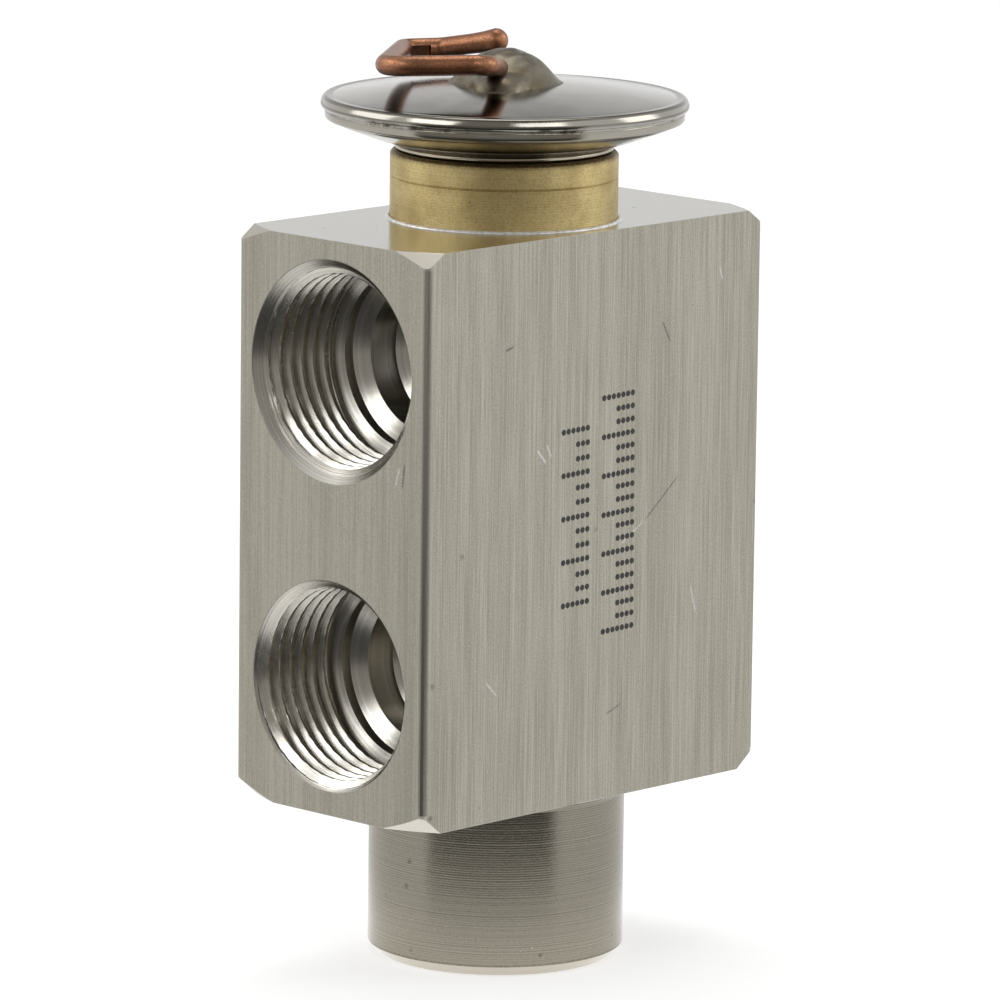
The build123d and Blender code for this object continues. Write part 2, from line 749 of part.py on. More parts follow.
# ---------------------------------------------------------------- write the parts
makers = {
    "valve_body": make_valve_body,
    "orifice_seat": make_orifice_seat,
    "valve_ball": make_valve_ball,
    "push_pin": make_push_pin,
    "ball_holder": make_ball_holder,
    "damper_ring": make_damper_ring,
    "superheat_spring": make_superheat_spring,
    "spring_seat": make_spring_seat,
    "adjusting_screw": make_adjusting_screw,
    "screw_seal": make_screw_seal,
    "retaining_clip": make_retaining_clip,
    "sensing_rod": make_sensing_rod,
    "pin_seal": make_pin_seal,
    "seal_retainer": make_seal_retainer,
    "rod_guide": make_rod_guide,
    "head_collar": make_head_collar,
    "collar_seal": make_collar_seal,
    "head_base": make_head_base,
    "diaphragm": make_diaphragm,
    "diaphragm_plate": make_diaphragm_plate,
    "head_cover": make_head_cover,
    "charge_tube": make_charge_tube,
    "solder_dome": make_solder_dome,
}
for name, maker in makers.items():
    export_step(maker(), f"parts/{name}.step")
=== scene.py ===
import bmesh
import bpy
import numpy as np
from mathutils import Matrix, Vector


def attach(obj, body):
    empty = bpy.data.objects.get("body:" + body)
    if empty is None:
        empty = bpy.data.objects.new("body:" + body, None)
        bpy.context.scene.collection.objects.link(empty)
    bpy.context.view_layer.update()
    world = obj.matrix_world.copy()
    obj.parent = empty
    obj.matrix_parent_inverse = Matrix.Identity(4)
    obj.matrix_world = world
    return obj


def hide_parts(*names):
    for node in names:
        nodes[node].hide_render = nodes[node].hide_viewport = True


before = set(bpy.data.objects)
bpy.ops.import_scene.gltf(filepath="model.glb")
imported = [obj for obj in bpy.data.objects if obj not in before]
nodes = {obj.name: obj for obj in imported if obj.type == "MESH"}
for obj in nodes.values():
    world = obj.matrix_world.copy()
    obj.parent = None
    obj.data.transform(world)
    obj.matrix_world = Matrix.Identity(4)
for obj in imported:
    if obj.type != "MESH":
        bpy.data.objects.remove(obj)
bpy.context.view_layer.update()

scene = bpy.context.scene

# ------------------------------------------------------------------ table, backdrop and light
# The valve stands on a pale table top, clear from beneath, in a light tent that is brightest
# low down. A wide soft box stands on each side and one hangs overhead. The viewer's end of the
# room is dark, with two narrow strip lamps in it, and only the metal shows it.


def new_object(name, data):
    """Object that puts a mesh, a lamp or a camera into the scene."""
    made = bpy.data.objects.new(name, data)
    scene.collection.objects.link(made)
    return made


def new_material(name, roughness=0.5):
    """New material: the material, its tree and its Principled shader."""
    material = bpy.data.materials.new(name)
    material.use_nodes = True
    shader = material.node_tree.nodes["Principled BSDF"]
    shader.inputs["Roughness"].default_value = roughness
    return material, material.node_tree, shader


table_size = 6.0
table_mesh = bpy.data.meshes.new("table_top")
table_mesh.from_pydata(
    [(-table_size, -table_size, 0), (table_size, -table_size, 0),
     (table_size, table_size, 0), (-table_size, table_size, 0)], [], [(0, 1, 2, 3)])
table_top = new_object("table_top", table_mesh)


def add_node(tree, kind, settings=None, values=None, sources=None):
    """One shader node with its settings, its plain input values and the outputs wired to it."""
    node = tree.nodes.new(kind)
    for key, value in (settings or {}).items():
        setattr(node, key, value)
    for key, value in (values or {}).items():
        node.inputs[key].default_value = value
    for key, source in (sources or {}).items():
        tree.links.new(source, node.inputs[key])
    return node


def calc(tree, operation, *terms):
    """Output of a Math node. Each term is a number or an output."""
    node = tree.nodes.new("ShaderNodeMath")
    node.operation = operation
    for slot, term in enumerate(terms):
        if isinstance(term, (int, float)):
            node.inputs[slot].default_value = term
        else:
            tree.links.new(term, node.inputs[slot])
    return node.outputs[0]


def ramp(tree, value, low, high, at_low=0.0, at_high=1.0):
    """Value mapped from the range low to high on to at_low to at_high, and held outside it."""
    node = add_node(tree, "ShaderNodeMapRange", values={
        "From Min": low, "From Max": high, "To Min": at_low, "To Max": at_high},
        sources={"Value": value})
    return node.outputs["Result"]


def from_axis(tree):
    """Distance in metres from the foot of the valve's axis."""
    place = tree.nodes.new("ShaderNodeTexCoord").outputs["Object"]
    distance = add_node(tree, "ShaderNodeVectorMath", {"operation": "LENGTH"}, sources={0: place})
    return distance.outputs["Value"]


def seen_in_metal_or_directly(tree):
    """1 for rays from the viewer, from gloss and through glass, 0 for the light itself."""
    kind = tree.nodes.new("ShaderNodeLightPath")
    shown = calc(tree, "MAXIMUM", kind.outputs["Is Camera Ray"], kind.outputs["Is Glossy Ray"])
    return calc(tree, "MAXIMUM", shown, kind.outputs["Is Transmission Ray"])


paint, tree, shader = new_material("white_table_paint", 0.8)
shader.inputs["Base Color"].default_value = (0.62, 0.62, 0.62, 1)
shader.inputs["Emission Color"].default_value = (1, 1, 1, 1)
ray = tree.nodes.new("ShaderNodeLightPath")
glow = calc(tree, "MULTIPLY", seen_in_metal_or_directly(tree), 0.33)
glow = calc(tree, "MULTIPLY_ADD", ray.outputs["Is Camera Ray"], 0.17, glow)
# Painted pool of light: seen in gloss, the table glows brighter in a small patch round the valve's
# foot.
painted_glow_under_valve = ramp(tree, from_axis(tree), 0.020, 0.044, 0.45, 0.0)
glow = calc(tree, "MULTIPLY_ADD", ray.outputs["Is Glossy Ray"], painted_glow_under_valve, glow)
tree.links.new(glow, shader.inputs["Emission Strength"])
beneath = tree.nodes.new("ShaderNodeNewGeometry").outputs["Backfacing"]
clear = tree.nodes.new("ShaderNodeBsdfTransparent").outputs["BSDF"]
choice = add_node(tree, "ShaderNodeMixShader", sources={
    0: beneath, 1: shader.outputs["BSDF"], 2: clear})
tree.links.new(choice.outputs["Shader"], tree.nodes["Material Output"].inputs["Surface"])
table_mesh.materials.append(paint)

tent = bpy.data.worlds.new("light_tent")
scene.world = tent
tent.use_nodes = True
cloth = tent.node_tree.nodes["Background"]
cloth.inputs["Color"].default_value = (1, 1, 1, 1)
tree = tent.node_tree
ray = tree.nodes.new("ShaderNodeLightPath")
direction = tree.nodes.new("ShaderNodeTexCoord").outputs["Generated"]
parts = add_node(tree, "ShaderNodeSeparateXYZ", sources={0: direction}).outputs
sideways = calc(tree, "ABSOLUTE", calc(tree, "SUBTRACT", calc(tree, "MULTIPLY", parts["Y"], 0.719),
                                       calc(tree, "MULTIPLY", parts["X"], 0.695)))
shade = calc(tree, "MULTIPLY", ramp(tree, parts["Z"], 0.03, 0.60, 0.0, 0.72),
             ramp(tree, sideways, 0.25, 0.60, 1.0, 0.0))
strength = calc(tree, "MULTIPLY_ADD", ray.outputs["Is Glossy Ray"],
                calc(tree, "SUBTRACT", 0.45, shade), 0.55)
strength = calc(tree, "MAXIMUM", strength, ray.outputs["Is Camera Ray"])
strength = calc(tree, "MAXIMUM", strength, ray.outputs["Is Transmission Ray"])
tree.links.new(strength, cloth.inputs["Strength"])


def soft_box(name, place, width, height, power):
    """Square-edged area lamp that faces the middle of the valve."""
    lamp = bpy.data.lights.new(name, "AREA")
    lamp.shape = "RECTANGLE"
    lamp.size = width
    lamp.size_y = height
    lamp.energy = power
    box = new_object(name, lamp)
    box.location = place
    aim = Vector((0, 0, 0.045)) - Vector(place)
    box.rotation_euler = aim.to_track_quat("-Z", "Y").to_euler()


soft_box("soft_box_right", (0.75, -0.60, 0.45), 0.5, 0.5, 1.7)
soft_box("soft_box_left", (-0.52, 0.68, 0.52), 0.55, 0.5, 1.6)
soft_box("soft_box_top", (0.22, 0.20, 1.0), 0.6, 0.6, 3.0)
soft_box("strip_near_left", (-0.863, 0.075, 0.58), 0.5, 0.28, 1.1)
soft_box("strip_near_right", (-0.324, -0.803, 0.58), 0.5, 0.28, 1.1)

# Dark cloth that runs from just beside the valve over the table and up the wall of the
# viewer's end. It is a fan of rows, each at its own reach and height, and only gloss sees it.
cloth_columns = 28
spread = np.outer([1, 1, 1, 1, 0.8, 0.6, 0.55, 0.5, 0.5], np.linspace(-58, 50, cloth_columns))
bearing = np.radians(224.1 + spread)
reach = np.array([0.053, 0.12, 0.4, 1.2, 1.2, 1.2, 1.05, 0.75, 0.3])
height = np.array([0.0005, 0.0005, 0.0005, 0.0005, 0.2, 0.5, 0.9, 1.25, 1.45])
cloth_points = np.stack([
    reach[:, None] * np.cos(bearing), reach[:, None] * np.sin(bearing),
    np.outer(height, np.ones(cloth_columns))], axis=-1).reshape(-1, 3)
corner = (np.arange(8)[:, None] * cloth_columns + np.arange(cloth_columns - 1)[None, :]).ravel()
above = corner + cloth_columns
cloth_faces = np.stack([corner, corner + 1, above + 1, above], axis=1)
cloth_mesh = bpy.data.meshes.new("dark_cloth")
cloth_mesh.from_pydata(cloth_points.tolist(), [], cloth_faces.tolist())
dark_cloth = new_object("dark_cloth", cloth_mesh)
dark_cloth.visible_camera = False
dark_cloth.visible_diffuse = False
dark_cloth.visible_shadow = False
felt, tree, shader = new_material("dark_felt", 0.9)
shader.inputs["Base Color"].default_value = (0.015, 0.015, 0.015, 1)
shader.inputs["Emission Color"].default_value = (1.0, 0.95, 0.88, 1)
tree.links.new(ramp(tree, from_axis(tree), 0.18, 0.50, 0.02, 0.30), shader.inputs["Emission Strength"])
cloth_mesh.materials.append(felt)

# ------------------------------------------------------------------ viewpoint
# A long lens a little above the valve's head, looking at the near vertical edge of the block.
lens_axis = Vector((-0.70583, -0.68450, 0.18236)).normalized()
eye = Vector((-0.524483, -0.508613, 0.179808))
level = Vector((0, 0, 1)).cross(lens_axis).normalized()
upright = lens_axis.cross(level)
roll = np.radians(0.7025)
across = level * np.cos(roll) + upright * np.sin(roll)
upward = upright * np.cos(roll) - level * np.sin(roll)
lens = bpy.data.cameras.new("viewpoint")
lens.sensor_width = 36
lens.lens = 277.345
camera = new_object("viewpoint", lens)
camera.matrix_world = Matrix((
    (across.x, upward.x, lens_axis.x, eye.x),
    (across.y, upward.y, lens_axis.y, eye.y),
    (across.z, upward.z, lens_axis.z, eye.z),
    (0, 0, 0, 1)))
scene.camera = camera
scene.view_settings.view_transform = "Standard"

# ------------------------------------------------------------------ valve body
# A length of extruded aluminium bar, drawn so that fine lines run up its four faces, then
# faced, bevelled and turned down to the spigot on a lathe and bored from five sides.
half_width = 23.05
half_depth = 12.7
spigot_top = 16.7
block_top = 71.9


def millimetres(tree):
    """Place on the piece in millimetres, as a vector and as its x, y, z and radius."""
    place = tree.nodes.new("ShaderNodeTexCoord").outputs["Object"]
    scaled = add_node(tree, "ShaderNodeVectorMath", {"operation": "SCALE"}, {"Scale": 1000.0},
                      {0: place}).outputs["Vector"]
    parts = add_node(tree, "ShaderNodeSeparateXYZ", sources={0: scaled}).outputs
    square = calc(tree, "MULTIPLY_ADD", parts["X"], parts["X"],
                  calc(tree, "MULTIPLY", parts["Y"], parts["Y"]))
    return scaled, parts["X"], parts["Y"], parts["Z"], calc(tree, "SQRT", square)


def new_group(name, inputs, outputs):
    """Empty shader node group with float and vector sockets, and its input and output nodes."""
    group = bpy.data.node_groups.new(name, "ShaderNodeTree")
    for label, kind, value in inputs:
        socket = group.interface.new_socket(label, in_out="INPUT", socket_type=kind)
        if value is not None:
            socket.default_value = value
    for label, kind in outputs:
        group.interface.new_socket(label, in_out="OUTPUT", socket_type=kind)
    return group, group.nodes.new("NodeGroupInput"), group.nodes.new("NodeGroupOutput")


def noise(tree, place, scale, detail, roughness=0.5, distortion=0.0):
    """Smooth random value from 0 to 1 at a place on the piece, with scale waves to the millimetre."""
    values = {"Scale": scale, "Detail": detail, "Roughness": roughness, "Distortion": distortion}
    return add_node(tree, "ShaderNodeTexNoise", values=values, sources={"Vector": place}).outputs["Fac"]


# Drawn lines: noise stretched along Z, coarse bands with finer ones inside them.
drawn_lines, entry, leave = new_group(
    "drawn_lines", [("Place", "NodeSocketVector", None), ("Fineness", "NodeSocketFloat", 1.0)],
    [("Lines", "NodeSocketFloat"), ("Bands", "NodeSocketFloat")])
stretched = add_node(drawn_lines, "ShaderNodeVectorMath", {"operation": "MULTIPLY"},
                     {1: (1.0, 1.0, 0.012)}, {0: entry.outputs["Place"]}).outputs["Vector"]
narrow = add_node(drawn_lines, "ShaderNodeTexNoise", values={"Detail": 3.0, "Roughness": 0.75},
                  sources={"Vector": stretched,
                           "Scale": calc(drawn_lines, "MULTIPLY", entry.outputs["Fineness"], 3.2)})
broad = add_node(drawn_lines, "ShaderNodeTexNoise", values={"Detail": 2.0, "Scale": 0.55},
                 sources={"Vector": stretched})
drawn_lines.links.new(narrow.outputs["Fac"], leave.inputs["Lines"])
drawn_lines.links.new(broad.outputs["Fac"], leave.inputs["Bands"])

# Turning lines: one-dimensional noise along the tool's feed, broken a little round the turn.
turning_lines, entry, leave = new_group(
    "turning_lines", [("Place", "NodeSocketVector", None), ("Feed", "NodeSocketFloat", 0.0),
                      ("Fineness", "NodeSocketFloat", 1.0)],
    [("Lines", "NodeSocketFloat"), ("Smudges", "NodeSocketFloat")])
drift = noise(turning_lines, entry.outputs["Place"], 0.12, 2.0)
along = calc(turning_lines, "MULTIPLY", entry.outputs["Feed"],
             calc(turning_lines, "MULTIPLY", entry.outputs["Fineness"], 5.5))
rings = add_node(turning_lines, "ShaderNodeTexNoise", {"noise_dimensions": "1D"},
                 {"Detail": 4.0, "Roughness": 0.7, "Scale": 1.0},
                 {"W": calc(turning_lines, "ADD", along, drift)})
smudge = noise(turning_lines, entry.outputs["Place"], 0.35, 4.0)
turning_lines.links.new(rings.outputs["Fac"], leave.inputs["Lines"])
turning_lines.links.new(smudge, leave.inputs["Smudges"])

# Specks: small round pits and dust, present in some cells of a random pattern only.
specks, entry, leave = new_group(
    "specks", [("Place", "NodeSocketVector", None), ("Spacing", "NodeSocketFloat", 1.0),
               ("Size", "NodeSocketFloat", 0.1), ("Share", "NodeSocketFloat", 0.3)],
    [("Mask", "NodeSocketFloat")])
cells = add_node(specks, "ShaderNodeTexVoronoi", sources={
    "Vector": entry.outputs["Place"],
    "Scale": calc(specks, "DIVIDE", 1.0, entry.outputs["Spacing"])})
chosen = add_node(specks, "ShaderNodeSeparateColor", sources={0: cells.outputs["Color"]})
present = calc(specks, "LESS_THAN", chosen.outputs["Red"], entry.outputs["Share"])
ragged = noise(specks, entry.outputs["Place"], 9.0, 2.0)
radius = calc(specks, "MULTIPLY", entry.outputs["Size"],
              calc(specks, "MULTIPLY", calc(specks, "ADD", chosen.outputs["Green"], 0.3), ragged))
edge = add_node(specks, "ShaderNodeMapRange", {"interpolation_type": "SMOOTHSTEP"},
                {"To Min": 1.0, "To Max": 0.0, "From Min": 0.0},
                {"Value": cells.outputs["Distance"], "From Max": radius})
specks.links.new(calc(specks, "MULTIPLY", edge.outputs["Result"], present), leave.inputs["Mask"])


def use_group(tree, group, sources=None, **values):
    """Places a node group in a material with its own values."""
    node = tree.nodes.new("ShaderNodeGroup")
    node.node_tree = group
    for key, value in values.items():
        node.inputs[key.replace("_", " ").capitalize()].default_value = value
    for key, source in (sources or {}).items():
        tree.links.new(source, node.inputs[key])
    return node.outputs


def mixed(tree, factor, first, second):
    """Output of a colour Mix node. The factor and each colour are values or outputs."""
    node = tree.nodes.new("ShaderNodeMix")
    node.data_type = "RGBA"
    for index, term in ((0, factor), (6, first), (7, second)):
        if isinstance(term, (int, float)):
            node.inputs[index].default_value = term
        elif isinstance(term, tuple):
            node.inputs[index].default_value = (*term, 1.0)
        else:
            tree.links.new(term, node.inputs[index])
    return node.outputs[2]


def product(tree, *masks):
    """Masks multiplied with one another: 1 only where each of them is 1."""
    result = masks[0]
    for mask in masks[1:]:
        result = calc(tree, "MULTIPLY", result, mask)
    return result


def tinted(tree, colour, mask, strength, tint):
    """A colour with a tint laid over it where the mask is 1, as strongly as strength says."""
    return mixed(tree, calc(tree, "MULTIPLY", mask, strength), colour, tint)


def metal(name, roughness):
    """New metallic material: the material, its tree and its Principled shader."""
    material, tree, shader = new_material(name, roughness)
    shader.inputs["Metallic"].default_value = 1.0
    return material, tree, shader


def give(name, material):
    """Puts a material on a CAD node."""
    nodes[name].data.materials.clear()
    nodes[name].data.materials.append(material)


def bump(tree, shader, height, strength, distance):
    """Small relief on a shader's normal. The distance is in metres."""
    node = add_node(tree, "ShaderNodeBump", values={"Strength": strength, "Distance": distance},
                    sources={"Height": height})
    tree.links.new(node.outputs["Normal"], shader.inputs["Normal"])


aluminium, tree, shader = metal("extruded_aluminium", 0.42)
place, x, y, z, radius = millimetres(tree)
across_x = calc(tree, "ABSOLUTE", x)
across_y = calc(tree, "ABSOLUTE", y)
on_top = calc(tree, "GREATER_THAN", z, block_top - 0.02)
below_top = calc(tree, "LESS_THAN", z, block_top - 0.02)
at_spigot = calc(tree, "LESS_THAN", z, spigot_top - 0.05)
off_axis = calc(tree, "GREATER_THAN", radius, 10.0)
on_spigot = product(tree, at_spigot, off_axis)
# The lathe's facets lie off the flat faces, near an end of the bar and far from the axis.
from_middle = calc(tree, "ABSOLUTE", calc(tree, "SUBTRACT", z, 44.515))
on_facet = product(
    tree, calc(tree, "LESS_THAN", across_x, half_width - 0.02),
    calc(tree, "LESS_THAN", across_y, half_depth - 0.02),
    calc(tree, "GREATER_THAN", from_middle, 25.875), below_top,
    calc(tree, "GREATER_THAN", radius, 24.0))
# Bored walls lie inside the bar's outline, or inside the spigot's hole.
in_block = product(
    tree, calc(tree, "LESS_THAN", across_x, half_width - 0.07),
    calc(tree, "LESS_THAN", across_y, half_depth - 0.2), below_top,
    calc(tree, "GREATER_THAN", z, spigot_top + 0.1), calc(tree, "SUBTRACT", 1.0, on_facet))
in_spigot = product(tree, at_spigot, calc(tree, "LESS_THAN", radius, 10.0))
in_bore = calc(tree, "MAXIMUM", in_block, in_spigot)
machined = calc(tree, "MAXIMUM", calc(tree, "MAXIMUM", on_spigot, on_top), in_bore)
as_drawn = calc(tree, "SUBTRACT", 1.0, machined)
painted_bright_spot_ring = product(tree, on_top, calc(tree, "LESS_THAN", radius, 11.32))
from_bevel = calc(tree, "ABSOLUTE", calc(tree, "SUBTRACT", z, 1.12))
bevel_specks = product(tree, ramp(tree, from_bevel, 0.04, 0.16, 1.0, 0.0), on_spigot)
painted_bright_bevel = product(tree, calc(tree, "LESS_THAN", z, 1.0), off_axis)
on_corner = product(tree, ramp(tree, across_x, 22.0, 22.9), ramp(tree, across_y, 11.7, 12.6))
on_narrow_face = calc(tree, "GREATER_THAN", across_x, half_width - 0.02)
lines = use_group(tree, drawn_lines, {"Place": place}, fineness=1.7)
grain = noise(tree, place, 7.0, 4.0, 0.7)
tool_ridges = calc(tree, "SINE", calc(tree, "MULTIPLY", z, 27.0))
tool_ridges = product(tree, tool_ridges, ramp(tree, z, 1.0, 12.0, 0.3, 0.6))
turned_z = use_group(tree, turning_lines, {"Place": place, "Feed": z}, fineness=1.0)
turned_r = use_group(tree, turning_lines, {"Place": place, "Feed": radius}, fineness=0.6)
turned_x = use_group(tree, turning_lines, {"Place": place, "Feed": x}, fineness=0.8)
pits = use_group(tree, specks, {"Place": place}, spacing=3.2, size=0.22, share=0.5)["Mask"]
dust = use_group(tree, specks, {"Place": place}, spacing=0.9, size=0.16, share=0.35)["Mask"]
drawn = calc(tree, "ADD", calc(tree, "MULTIPLY", lines["Lines"], 0.45),
             calc(tree, "MULTIPLY", lines["Bands"], 0.15))
drawn = calc(tree, "MULTIPLY_ADD", grain, 0.40, drawn)
# Painted shade: the narrow faces are drawn 30 percent darker than the wide faces of the same bar.
lightness = product(tree, ramp(tree, drawn, 0.42, 0.58),
                    calc(tree, "MULTIPLY_ADD", on_narrow_face, -0.30, 1.0))
drawn_colour = mixed(tree, lightness, (0.285, 0.270, 0.222), (0.470, 0.447, 0.383))
# Painted highlight: the rounded vertical corners are tinted lighter.
drawn_colour = tinted(tree, drawn_colour, on_corner, 0.35, (0.56, 0.54, 0.48))
# Painted reflection: a soft dark band down the middle of each rounded corner.
painted_dark_edge_band = calc(tree, "ADD", calc(tree, "MAXIMUM", calc(tree, "SUBTRACT", across_x, 22.30), 0.0),
                  calc(tree, "MAXIMUM", calc(tree, "SUBTRACT", across_y, 11.95), 0.0))
painted_dark_edge_band = product(tree, on_corner, ramp(tree, painted_dark_edge_band, 0.78, 1.05, 0.0, 0.65))
drawn_colour = mixed(tree, painted_dark_edge_band, drawn_colour, (0.20, 0.19, 0.16))
ringed = calc(tree, "MULTIPLY_ADD", tool_ridges, 0.16, calc(tree, "MULTIPLY_ADD", grain, 0.5,
              calc(tree, "MULTIPLY", turned_z["Lines"], 0.5)))
turned_colour = mixed(tree, ramp(tree, ringed, 0.34, 0.66),
                      (0.195, 0.180, 0.142), (0.325, 0.303, 0.250))
top_colour = mixed(tree, ramp(tree, turned_r["Smudges"], 0.3, 0.7),
                   (0.455, 0.442, 0.400), (0.55, 0.54, 0.50))
bore_colour = mixed(tree, ramp(tree, turned_x["Lines"], 0.35, 0.65),
                    (0.46, 0.44, 0.385), (0.62, 0.60, 0.55))
colour = mixed(tree, on_spigot, drawn_colour, turned_colour)
colour = mixed(tree, on_top, colour, top_colour)
colour = mixed(tree, in_bore, colour, bore_colour)
from_shoulder = calc(tree, "ABSOLUTE", calc(tree, "SUBTRACT", z, spigot_top))
on_end = calc(tree, "MAXIMUM", calc(tree, "LESS_THAN", z, 0.03),
              calc(tree, "LESS_THAN", from_shoulder, 0.04))
end_colour = mixed(tree, ramp(tree, turned_r["Lines"], 0.35, 0.65),
                   (0.40, 0.385, 0.34), (0.52, 0.50, 0.455))
colour = mixed(tree, on_end, colour, end_colour)
# Painted reflection: the spigot's bottom bevel is tinted much lighter, as if it mirrored the bright
# table.
colour = tinted(tree, colour, painted_bright_bevel, 0.8, (0.56, 0.52, 0.45))
# Painted light: the lathe's facets are tinted lighter than the faces, the upper facets lighter than the
# lower.
facet_painted_light = mixed(tree, calc(tree, "GREATER_THAN", z, 44.0), (0.70, 0.67, 0.60), (0.50, 0.47, 0.41))
colour = tinted(tree, colour, on_facet, 0.85, facet_painted_light)
# Painted highlight: a near-white ring on the top face round the collar's foot.
colour = tinted(tree, colour, painted_bright_spot_ring, 0.8, (0.92, 0.91, 0.88))
bevel_dirt = product(tree, bevel_specks, ramp(tree, grain, 0.48, 0.56))
colour = tinted(tree, colour, bevel_dirt, 0.8, (0.10, 0.08, 0.06))
colour = tinted(tree, colour, pits, 0.8, (0.10, 0.09, 0.07))
colour = tinted(tree, colour, dust, 0.5, (0.75, 0.74, 0.70))
on_wide_face = calc(tree, "LESS_THAN", y, 0.05 - half_depth)
on_near_side = calc(tree, "LESS_THAN", x, 0.02 - half_width)
wander = calc(tree, "MULTIPLY_ADD", grain, 0.5, -0.25)
for side, start_x, start_z, end_x, end_z, width, tone in [
        ("narrow", -9.9, 52.0, -9.6, 49.5, 0.05, 0.10), ("narrow", -9.2, 51.5, -8.7, 49.6, 0.05, 0.62),
        ("wide", 6.7, 43.1, 11.7, 47.2, 0.045, 0.12), ("wide", 3.4, 41.2, 6.9, 43.3, 0.04, 0.60),
        ("wide", -12.6, 61.8, -11.5, 62.1, 0.06, 0.10), ("wide", -8.2, 51.9, -6.9, 50.4, 0.06, 0.66),
        ("wide", -6.9, 52.3, -6.2, 50.9, 0.05, 0.62), ("wide", 8.9, 62.4, 10.1, 60.2, 0.06, 0.14),
        ("wide", 13.4, 36.2, 14.3, 33.1, 0.05, 0.60), ("wide", -14.8, 30.4, -13.2, 28.8, 0.05, 0.64),
        ("wide", 16.9, 66.9, 17.3, 65.5, 0.06, 0.60), ("wide", 1.8, 24.9, 4.1, 25.8, 0.04, 0.14)]:
    length = float(np.hypot(end_x - start_x, end_z - start_z))
    along_x, along_z = (end_x - start_x) / length, (end_z - start_z) / length
    from_x = calc(tree, "SUBTRACT", x if side == "wide" else y, start_x)
    from_z = calc(tree, "SUBTRACT", z, start_z)
    along = calc(tree, "MULTIPLY_ADD", from_x, along_x, calc(tree, "MULTIPLY", from_z, along_z))
    aside = calc(tree, "MULTIPLY_ADD", from_z, along_x, calc(tree, "MULTIPLY", from_x, -along_z))
    aside = calc(tree, "ABSOLUTE", calc(tree, "ADD", aside, wander))
    beyond = calc(tree, "ABSOLUTE", calc(tree, "SUBTRACT", along, length / 2))
    scratch = product(tree, ramp(tree, aside, width, width * 2.2, 1.0, 0.0),
                      ramp(tree, beyond, length * 0.35, length * 0.5, 0.75, 0.0),
                      on_wide_face if side == "wide" else on_near_side)
    colour = mixed(tree, scratch, colour, (tone, tone * 0.98, tone * 0.94))
tree.links.new(colour, shader.inputs["Base Color"])
rough_face = ramp(tree, lines["Lines"], 0.3, 0.7, 0.36, 0.50)
rough_face = calc(tree, "MULTIPLY_ADD", on_corner, 0.14, rough_face)
rough_turned = ramp(tree, ringed, 0.3, 0.7, 0.16, 0.24)
rough_top = ramp(tree, turned_r["Smudges"], 0.3, 0.7, 0.11, 0.20)
rough_top = calc(tree, "MULTIPLY_ADD", painted_bright_spot_ring, 0.4, rough_top)
rough = calc(tree, "ADD", product(tree, rough_face, as_drawn), product(tree, rough_turned, on_spigot))
rough = calc(tree, "ADD", rough, product(tree, rough_top, on_top))
rough = calc(tree, "ADD", rough, calc(tree, "MULTIPLY", in_bore, 0.22))
tree.links.new(rough, shader.inputs["Roughness"])
relief = product(tree, calc(tree, "SUBTRACT", drawn, 0.5), as_drawn)
relief = calc(tree, "MULTIPLY_ADD", calc(tree, "SUBTRACT", ringed, 0.5),
              calc(tree, "MULTIPLY", on_spigot, 0.45), relief)
relief = calc(tree, "MULTIPLY_ADD", calc(tree, "SUBTRACT", turned_r["Lines"], 0.5),
              calc(tree, "MULTIPLY", on_top, 0.2), relief)
relief = calc(tree, "MULTIPLY_ADD", calc(tree, "SUBTRACT", turned_x["Lines"], 0.5),
              calc(tree, "MULTIPLY", in_bore, 0.3), relief)
relief = calc(tree, "SUBTRACT", relief, calc(tree, "MULTIPLY", pits, 0.6))
bump(tree, shader, relief, 0.5, 0.00006)
give("valve_body", aluminium)

# ------------------------------------------------------------------ port threads
# Right-hand metric fine threads, 1.5 mm pitch, tapped into the four ports. Each is a thin
# sleeve of the body's own metal that lies against the plain wall of the bored port.
thread_pitch = 1.5
thread_nominal = 10.0
thread_root = 9.985
thread_crest = 9.19
thread_end = 9.62


def turn_outwards(mesh, merge):
    """Turns the faces of a closed mesh outwards, after its doubled points if these are to merge."""
    shape = bmesh.new()
    shape.from_mesh(mesh)
    if merge:
        bmesh.ops.remove_doubles(shape, verts=shape.verts, dist=2e-7)
    bmesh.ops.recalc_face_normals(shape, faces=shape.faces)
    shape.to_mesh(mesh)
    shape.free()


def skin(name, grid, closed_rows):
    """Closed mesh over a grid of points: columns run round, and rows either close or end in poles.

    Points are in millimetres. Doubled points are merged and faces turned outwards.
    """
    rows, columns = grid.shape[:2]
    row = np.arange(rows if closed_rows else rows - 1)[:, None]
    below = (row + 1) % rows
    column = np.arange(columns)[None, :]
    beside = (column + 1) % columns
    faces = np.stack([row * columns + column, row * columns + beside,
                      below * columns + beside, below * columns + column], axis=-1)
    mesh = bpy.data.meshes.new(name)
    mesh.from_pydata((grid.reshape(-1, 3) * 0.001).tolist(), [], faces.reshape(-1, 4).tolist())
    turn_outwards(mesh, True)
    mesh.shade_smooth()
    mesh.set_sharp_from_angle(angle=np.radians(38))
    return new_object(name, mesh)


